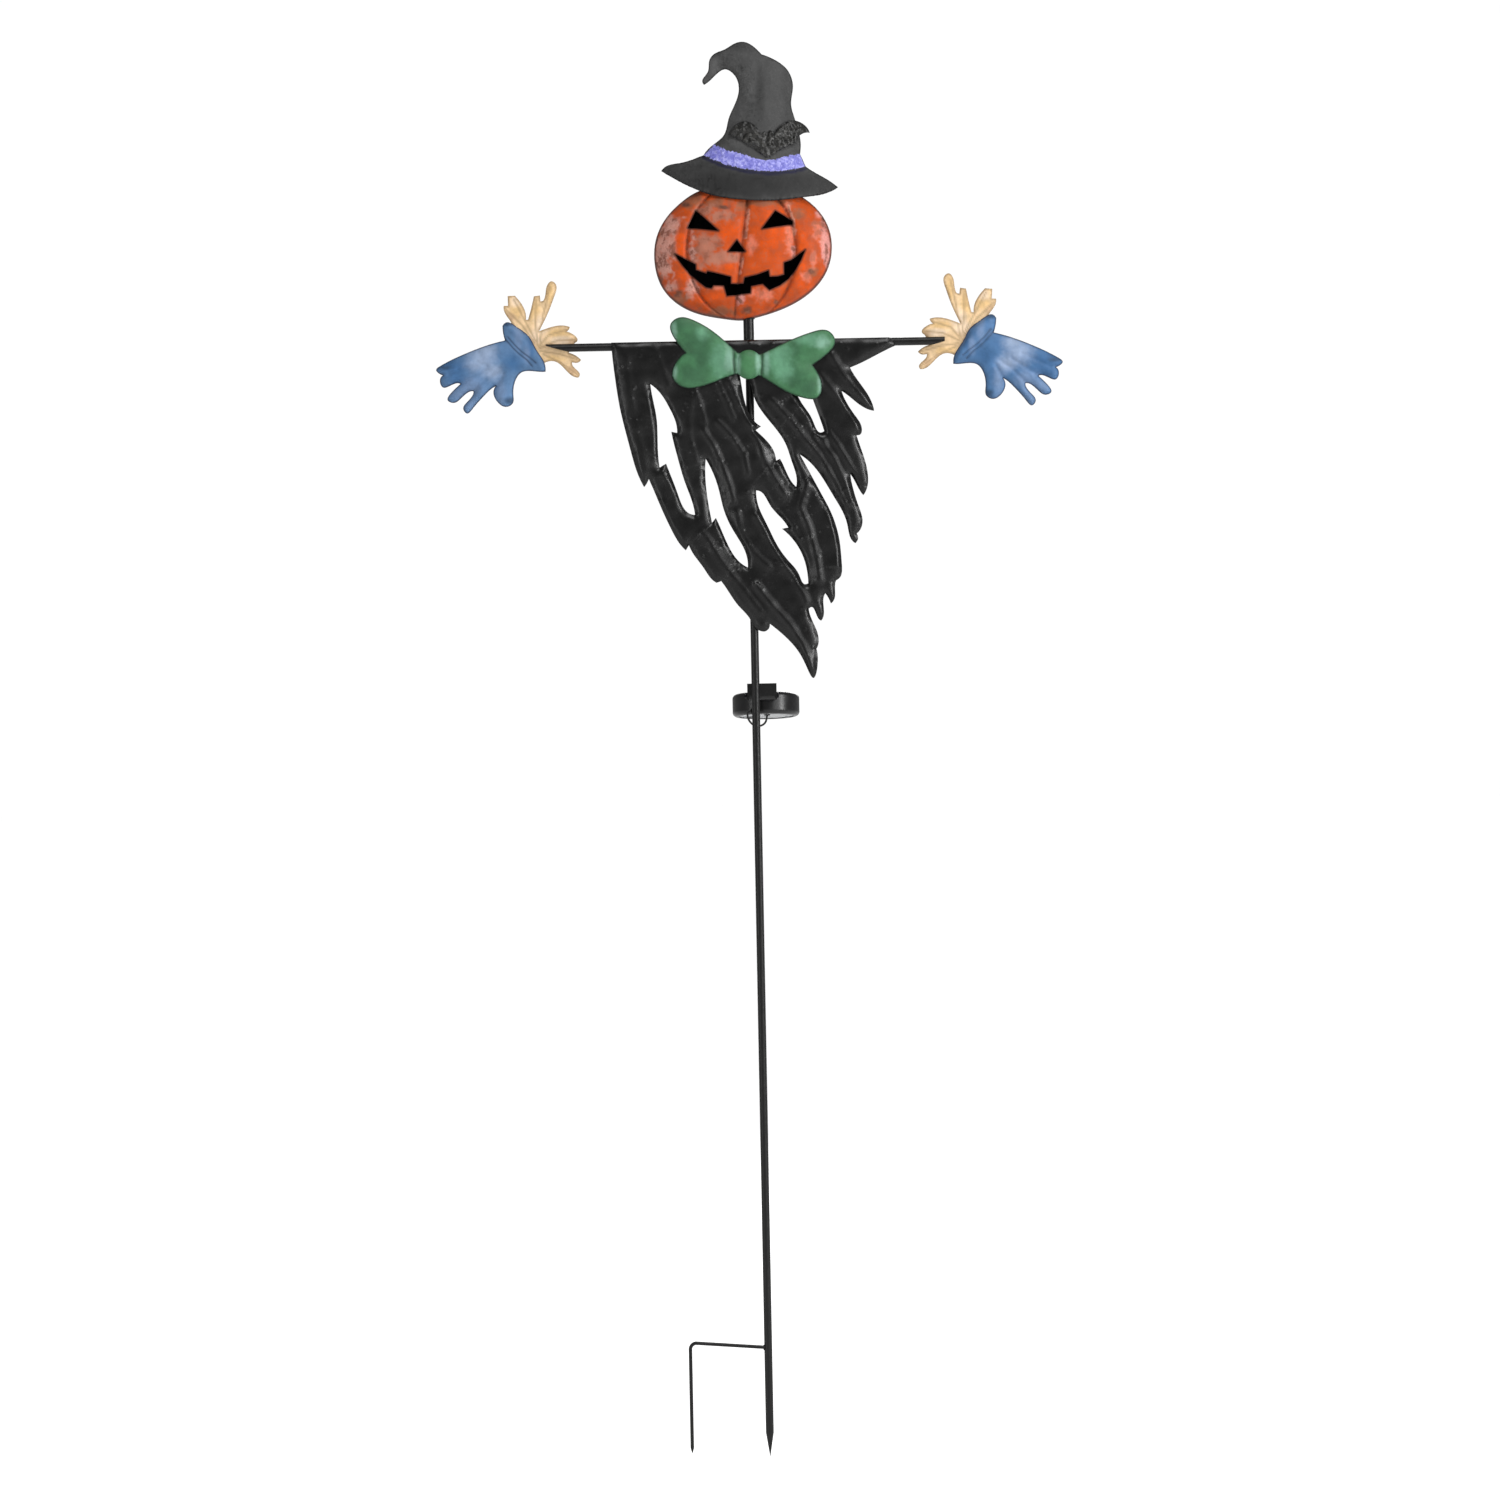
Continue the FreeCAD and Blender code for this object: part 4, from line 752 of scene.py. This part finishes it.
# 82ae97 dabs, beside the knot and at the wing tips, are painted highlights; 68a07e is a lighter
# green that is partly painted highlight on the wings' inner parts.
BOW_DABS_AND_HIGHLIGHTS = {
    "3a6848": [(-50, 2, 12, 16), (-46, -16, 8, 12), (-58, -30, 12, 8), (46, -4, 7, 12),
               (44, -34, 10, 10), (-66, 22, 8, 8), (58, -44, 8, 8)],
    "68a07e": [(30, -14, 11, 15), (-28, -16, 9, 16), (34, -30, 8, 8), (60, 4, 14, 6),
               (-46, 12, 6, 6)],
    "82ae97": [(-20, -13, 4, 15), (17, -15, 3, 15), (-75, 10, 3, 12), (73, 0, 6, 6),
               (-75, -26, 3, 9), (71, -42, 3, 10), (-11, -20, 2.5, 9), (8.5, -19, 2.5, 10)],
    "4c8658": [(-1, -20, 6, 11)],
}
green = painter("457c53", BOW_DABS_AND_HIGHLIGHTS, soft=1.5, torn=0.5)
pressed("bow_wings", "bow_wings_pressed", "sponged_green_enamel",
        levels=[(1.4, 3), (3.2, 16)], lines=BOW_GAPS, paint=green, step=1.2, calm=1)


def painted_copy(node, name, finish, paint, sharp_over=50):
    """A CAD node with its shape as it is and a painter's colours on it."""
    bm = merged_copy(node)
    sharp = [e for e in bm.edges
             if len(e.link_faces) == 2 and e.calc_face_angle(0) > math.radians(sharp_over)]
    rim = distance_to(sharp)
    edge_layer = bm.verts.layers.float.new("edge_mm")
    dab_layer = bm.verts.layers.float_color.new("dabs")
    for v in bm.verts:
        v[edge_layer] = rim(v.co)
        v[dab_layer] = paint(v.co.x / MM, (v.co.z - SHOULDER) / MM)
    return placed(bm, name, finish, "figure", [node])


painted_copy("bow_knot", "bow_knot_domed", "sponged_green_enamel", green)

# %% [markdown]
# ### Hands
# A glove is pressed puffier than the cloak and has a turned-back cuff, marked off by a double seam
# and by soft valleys between the fingers. The double seam is darkened as painted shade, and dark
# dabs along the cuff's upper edge are painted shadow. The straw behind it is nearly flat, with a
# shallow crease down each stalk. The right hand is the left one mirrored and turned about the
# wrist.

# %% Hands
GLOVE_SEAMS = [
    ([(-243.4, 10.6), (-235.7, 1.4), (-229.3, -5), (-222, -10.8), (-217, -17)], 0.8, -1.3),
    ([(-240.6, 12.4), (-233.4, 3.8), (-227.0, -2.6), (-219.6, -8.2), (-213, -14)], 0.8, -1.0),
    ([(-276, -40), (-262, -27), (-250, -19)], 2.0, -1.6),
    ([(-289, -33), (-274, -24), (-262, -17)], 2.0, -1.6),
    ([(-300, -23.5), (-284, -16), (-272, -12)], 2.0, -1.4),
    ([(-253, -36), (-246, -24)], 2.2, -1.6),
    ([(-238, 22), (-226, 10), (-216, -2), (-209, -14)], 4, 1.6),
]
# The 26364f dabs along the cuff's upper right edge are painted shadow.
GLOVE_DABS_AND_CUFF_SHADOW = {
    "3f6997": [(-294, -18, 12, 9), (-304, -14, 8, 5), (-292, -30, 10, 6), (-236, -14, 8, 8),
               (-218, 2, 4, 10)],
    "26364f": [(-218, 17, 9, 2), (-208, 4, 2, 8)],
    "98abc9": [(-269, -10, 12, 12), (-262, 0, 9, 6), (-256, -22, 8, 8)],
    "7590b6": [(-282, -48, 8, 12), (-276, -36, 10, 8), (-249, -42, 5, 12), (-230, 12, 4, 12),
               (-222, -4, 3, 8), (-296, -42, 8, 6)],
    "35506f": [(-241, 25, 4, 2), (-240, -51, 4, 3), (-305, -17, 6, 2)],
}
STRAW_CREASES = [
    ([(-242, 40), (-226, 24), (-214, 6)], 1.0, -0.4),
    ([(-234, 50), (-224, 30), (-213, 8)], 1.0, -0.4),
    ([(-212, 50), (-213, 26), (-211, 4)], 1.0, -0.4),
    ([(-198, 62), (-205, 34), (-209, 6)], 1.0, -0.4),
    ([(-182, 19), (-200, 14), (-210, 3)], 1.0, -0.4),
    ([(-173, 9), (-192, 8), (-209, 1)], 1.0, -0.4),
    ([(-172, -11), (-190, -5), (-208, -2)], 1.0, -0.4),
    ([(-172, -26), (-188, -14), (-206, -5)], 1.0, -0.4),
]
STRAW_DABS = {
    "f0ca90": [(-214, 36, 5, 14), (-198, 54, 4, 12), (-232, 38, 6, 6), (-190, 16, 12, 4),
               (-196, -10, 10, 4)],
    "fce2c4": [(-232, 48, 5, 5), (-208, 22, 8, 10), (-186, 8, 10, 4), (-214, 12, 6, 8)],
    "deba94": [(-216, -4, 4, 12), (-178, -22, 5, 4), (-176, 7, 4, 3), (-238, 32, 5, 4)],
}
WRIST_X, WRIST_V = 205, -22


def right_hand(x, height, degrees):
    """A point of the left hand on the right one: mirrored, then turned about the wrist."""
    c, s = math.cos(math.radians(degrees)), math.sin(math.radians(degrees))
    out, up = -x - WRIST_X, height - WRIST_V
    return WRIST_X + out * c + up * s, WRIST_V - out * s + up * c


def other_hand(lines, dabs, degrees):
    """Creases and dabs of the left hand, moved to the right one."""
    moved_lines = [([right_hand(*p, degrees) for p in points], wide, high)
                   for points, wide, high in lines]
    moved_dabs = {code: [(*right_hand(x, v, degrees), wide, tall) for x, v, wide, tall in places]
                  for code, places in dabs.items()}
    return moved_lines, moved_dabs


HANDS = {
    "left": ("5d82ac", (STRAW_CREASES, STRAW_DABS), (GLOVE_SEAMS, GLOVE_DABS_AND_CUFF_SHADOW)),
    "right": ("4f78a6", other_hand(STRAW_CREASES, STRAW_DABS, 3),
              other_hand(GLOVE_SEAMS, GLOVE_DABS_AND_CUFF_SHADOW, 2)),
}
for side, (blue, (creases, straw_dabs), (seams, glove_dabs)) in HANDS.items():
    pressed(f"{side}_straw", f"{side}_straw_pressed", "straw_ochre_paint",
            levels=[(0.7, 3)], lines=creases, paint=painter("fad8aa", straw_dabs, torn=0.5),
            step=1.5, calm=1)
    pressed(f"{side}_glove", f"{side}_glove_pressed", "rubbed_blue_enamel",
            levels=[(1.8, 3), (3.0, 12)], lines=seams,
            paint=painter(blue, glove_dabs, soft=1.6, torn=0.4), step=1.2, calm=1)

# %% [markdown]
# ### Pumpkin
# The head is two domed shells. Each is cut into the same grid and pushed into four lobes between
# three grooves that bend like lines of longitude. The grooves run into the rim, so the push fades
# out there and the two shells still meet.

# %% Lobes and grooves
# The head's middle over the shoulder line, and its half width and half height. The side grooves
# are given as shares of the half width, and the middle one by a point that it leans through.
HEAD_X, HEAD_V, HEAD_WIDE, HEAD_TALL = -4, 93, 88.7, 69
LEFT_GROOVE, RIGHT_GROOVE = 0.63, 0.586
GROOVE_X, GROOVE_V, GROOVE_LEAN = -6.5, 86, 0.13
LOBE_HIGH, GROOVE_DEEP, GROOVE_WIDE, SEAM_FADE = 3.2, 2.6, 2.6, 20


def lobes(x, height):
    """(distance in mm to the nearest groove, place across the lobe from 0 to 1)."""
    swell = math.sqrt(max(0.02, 1 - ((height - HEAD_V) / HEAD_TALL) ** 2))
    left, right = HEAD_X - HEAD_WIDE * swell, HEAD_X + HEAD_WIDE * swell
    grooves = [left, HEAD_X - LEFT_GROOVE * HEAD_WIDE * swell,
               GROOVE_X + GROOVE_LEAN * (height - GROOVE_V),
               HEAD_X + RIGHT_GROOVE * HEAD_WIDE * swell, right]
    nearest = min(abs(x - g) for g in grooves[1:-1])
    for a, b in zip(grooves, grooves[1:]):
        if a <= x <= b:
            return nearest, (x - a) / max(1, b - a)
    return nearest, 0.0


# %% The painter's dabs on the pumpkin
# The dd9890 dabs at the right rim and beside the right groove are painted highlights, as is the
# d29a8c dab just right of the left groove.
PUMPKIN_DABS_AND_HIGHLIGHTS = {
    "9c5c3e": [(-55, 144, 15, 8), (-28, 141, 14, 5), (-3, 137, 7, 8), (52, 128, 7, 6),
               (20, 140, 22, 3), (-30, 34, 14, 5), (66, 71, 5, 5), (-68, 47, 9, 5),
               (36, 62, 4, 4), (70, 118, 4, 3), (-84, 112, 5, 6)],
    "b2745f": [(-42, 92, 13, 14), (-27, 85, 12, 9), (-27, 127, 14, 8), (-42, 134, 9, 6),
               (-14, 84, 6, 5), (-36, 104, 9, 4)],
    "d29a8c": [(-81, 100, 9, 20), (-74, 121, 9, 9), (-83, 77, 7, 11), (-89, 88, 4, 14),
               (-55, 93, 3, 16), (-56, 56, 6, 8), (-76, 60, 6, 5)],
    "dc5208": [(-66, 100, 4, 14), (-66, 65, 4, 9), (-17, 111, 9, 7), (-17, 76, 9, 4),
               (-38, 47, 13, 4), (22, 106, 14, 13), (56, 98, 4, 22), (30, 128, 12, 5),
               (52, 60, 9, 5)],
    "de7a5e": [(43, 103, 4, 14), (41, 135, 3, 5), (15, 48, 12, 5), (71, 112, 5, 9),
               (5, 98, 4, 9), (66, 82, 3, 8), (-26, 56, 12, 2.5), (58, 66, 4, 4)],
    "dd9890": [(78, 104, 4, 18), (80, 84, 4, 12), (75, 128, 6, 4), (-8, 46, 3.5, 6),
               (46, 92, 2, 8)],
    "6a4232": [(-62, 141, 5, 2.5), (-88, 66, 4, 7), (-22, 136, 6, 2), (2, 146, 8, 2.5),
               (77, 125, 3, 2.5), (64, 71, 3, 2), (-2, 33, 6, 4), (28, 42, 3.5, 3),
               (-70, 52, 4, 2.5)],
}
# These pale strokes beside the middle and right grooves are painted highlights.
PUMPKIN_HIGHLIGHT_STROKES = {
    "e29c84": [([(2.0, 132), (0.2, 118), (-1.5, 105)], 1.7), ([(-4.5, 84), (-7.5, 70)], 1.5),
               ([(41.5, 137), (46.5, 122), (47.5, 108)], 1.3)],
}
orange = painter("c84e14", PUMPKIN_DABS_AND_HIGHLIGHTS, PUMPKIN_HIGHLIGHT_STROKES, soft=1.1, torn=1.1)


# %% Head shells
def pumpkin_shell(node, name, side):
    """One half of the head, from its CAD dome. side is -1 in front and 1 behind."""
    bm = merged_copy(node)
    middle = spot(HEAD_X, HEAD_V)
    cut_to_grid(bm, 2)
    edge_layer = bm.verts.layers.float.new("edge_mm")
    groove_layer = bm.verts.layers.float.new("groove")
    dab_layer = bm.verts.layers.float_color.new("dabs")
    sharp = [e for e in bm.edges
             if len(e.link_faces) == 2 and e.calc_face_angle(0) > math.radians(50)]
    rim = distance_to(sharp)
    hollow = [f for f in bm.faces if f.normal.dot(f.calc_center_median() - middle) < 0]
    for v in bm.verts:
        x, height = v.co.x / MM, (v.co.z - SHOULDER) / MM
        v[edge_layer] = min(rim(v.co), rim(Vector((v.co.x, 0, v.co.z))) + 0.4)
        away, across_lobe = lobes(x, height)
        fade = min(1, abs(v.co.y) / (SEAM_FADE * MM))
        valley = math.exp(-(away / GROOVE_WIDE) ** 2)
        swell = LOBE_HIGH * math.sin(math.pi * across_lobe) ** 0.7 - GROOVE_DEEP * valley
        v.co.y += side * swell * fade * MM
        # A thin umber line in the groove, and a wider, fainter painted shade beside it.
        v[groove_layer] = 0.5 * math.exp(-(away / 1.6) ** 2) + 0.22 * math.exp(-(away / 5) ** 2)
        v[dab_layer] = orange(x, height)
    for face in hollow:
        face.material_index = 1
    half = placed(bm, name, "sponged_pumpkin_paint", "figure", [node])
    half.data.materials.append(FINISHES["flat_black_primer"])
    return half


pumpkin_shell("pumpkin_front_shell", "pumpkin_front", -1)
pumpkin_shell("pumpkin_back_shell", "pumpkin_back", 1)

# %% [markdown]
# ### Hat
# The hat's two halves are pressed like the other sheets, with their edges rolled in. The lighter
# stripes down the crown are painted highlights, and the darker stripes on it and its darker tip are
# painted shade; the brim is painted a darker charcoal. The band is a glitter strip that lies over
# the join, and the bat is cut from thicker, lumpy glitter sheet.

# %% Hat
# 5c5c5c dabs are painted highlights on the crown, 444444 dabs are painted shade on it and at its
# tip, and the three darkest greys lie on the brim.
HAT_DABS_AND_PAINTED_LIGHT = {
    "5c5c5c": [(-8, 228, 11, 28), (-32, 281, 7, 9), (7, 262, 7, 18)],
    "444444": [(16, 248, 4, 30), (0, 299, 20, 6), (44, 250, 7, 24)],
    "353535": [(66, 160, 46, 11), (30, 157, 34, 12)],
    "3b3b3b": [(-66, 166, 40, 13), (-40, 172, 22, 12)],
    "2f2f2f": [(0, 158, 38, 14), (-28, 160, 20, 12)],
}
HAT_STROKES = {"1f1f3a": [([(-42, 187.5), (-25, 178.5), (-1, 171.5), (23, 168.8), (47, 170.5),
                            (59, 174)], 1.5)]}
charcoal = painter("4e4e4e", HAT_DABS_AND_PAINTED_LIGHT, HAT_STROKES, soft=1.2, torn=0.15)
for node, name, face_side in (("hat_front_shell", "hat_front", -1),
                              ("hat_back_shell", "hat_back", 1)):
    pressed(node, name, "matt_charcoal_paint", levels=[(0.9, 4)], paint=charcoal,
            side=face_side, calm=6)
pressed("hat_band", "hat_band_glitter", "lilac_glitter_lacquer",
        levels=[(0.6, 3)], lump=(0.6, 3), step=1.2, calm=1)
pressed("bat_badge", "bat_glitter", "black_glitter_lacquer",
        levels=[(1.4, 4)], lump=(2.6, 4.5), step=1.2, calm=1)

# %% [markdown]
# ### Weld beads
# The step fork, the crossbar, the neck tube and the head are welded on. A bead is a thin ring of
# metal that ran: a small circle spun round the joint, then made lumpy with noise.

# %% Weld beads
def weld_bead(name, centre, facing, ring, thick, body="figure"):
    """A lumpy ring. centre, ring and thick are in mm, and facing is the way the ring looks."""
    bm = bmesh.new()
    made = bmesh.ops.create_circle(bm, segments=10, radius=thick * MM)["verts"]
    bmesh.ops.rotate(bm, verts=made, cent=(0, 0, 0), matrix=Matrix.Rotation(math.pi / 2, 3, "X"))
    bmesh.ops.translate(bm, verts=made, vec=(ring * MM, 0, 0))
    bmesh.ops.spin(bm, geom=bm.verts[:] + bm.edges[:], cent=(0, 0, 0), axis=(0, 0, 1),
                   angle=math.tau, steps=40, use_merge=True)
    bmesh.ops.remove_doubles(bm, verts=bm.verts, dist=0.001 * MM)
    for v in bm.verts:
        v.co *= 1 + 0.1 * noise.noise(v.co / (1.2 * MM))
    turned = Vector(facing).to_track_quat("Z", "Y").to_matrix().to_4x4()
    bmesh.ops.transform(bm, verts=bm.verts,
                        matrix=Matrix.Translation(Vector(centre) * MM) @ turned)
    bmesh.ops.recalc_face_normals(bm, faces=bm.faces)
    placed(bm, name, "satin_black_powder_coat", body)


weld_bead("fork_weld", (-4.1, 0, 0), (-1, 0, 0), 1.9, 0.8, "stake")
weld_bead("crossbar_weld", (0, -4.6, 1002.5), (0, -1, 0), 3.0, 1.1)
weld_bead("neck_weld", (0, 0, 1007.2), (0, 0, 1), 4.6, 0.9)
weld_bead("head_weld", (0, 0, 1029), (0, 0, 1), 5.4, 0.8)

# %% [markdown]
# ### Finishes on the CAD parts that stay
# Poles, bracket, fixings and the solar unit have their true shape in the CAD, so they only take a
# finish. Assigning to a material slot leaves the mesh as it is.

# %% Finishes for CAD nodes
CAD_FINISHES = {
    "satin_black_powder_coat": ["lower_pole", "step_fork", "middle_pole", "mast", "crossbar",
                                "neck_tube", "bow_standoff", "solar_bracket", "hat_straps"],
    "bright_zinc_plate": ["cover_screws", "battery_contacts"],
    "black_zinc_plate": ["hinge_screw", "hinge_nut"],
    "white_abs": ["led_holder"],
    "board_solder_mask": ["led_board", "circuit_board"],
    "clear_bulb_epoxy": ["led_bulbs"],
    "black_abs": ["solar_housing", "power_button"],
    "pale_grey_abs": ["base_cover"],
    "clear_polycarbonate": ["cell_window"],
    "silicon_cell": ["solar_cell"],
    "battery_film": ["battery"],
    "black_rubber": ["lead_gland", "mast_grommet", "lead_riser"],
}
for finish, nodes in CAD_FINISHES.items():
    for node in nodes:
        for material_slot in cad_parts[node].material_slots:
            material_slot.material = FINISHES[finish]
lead_tube.data.materials.clear()
lead_tube.data.materials.append(FINISHES["black_rubber"])
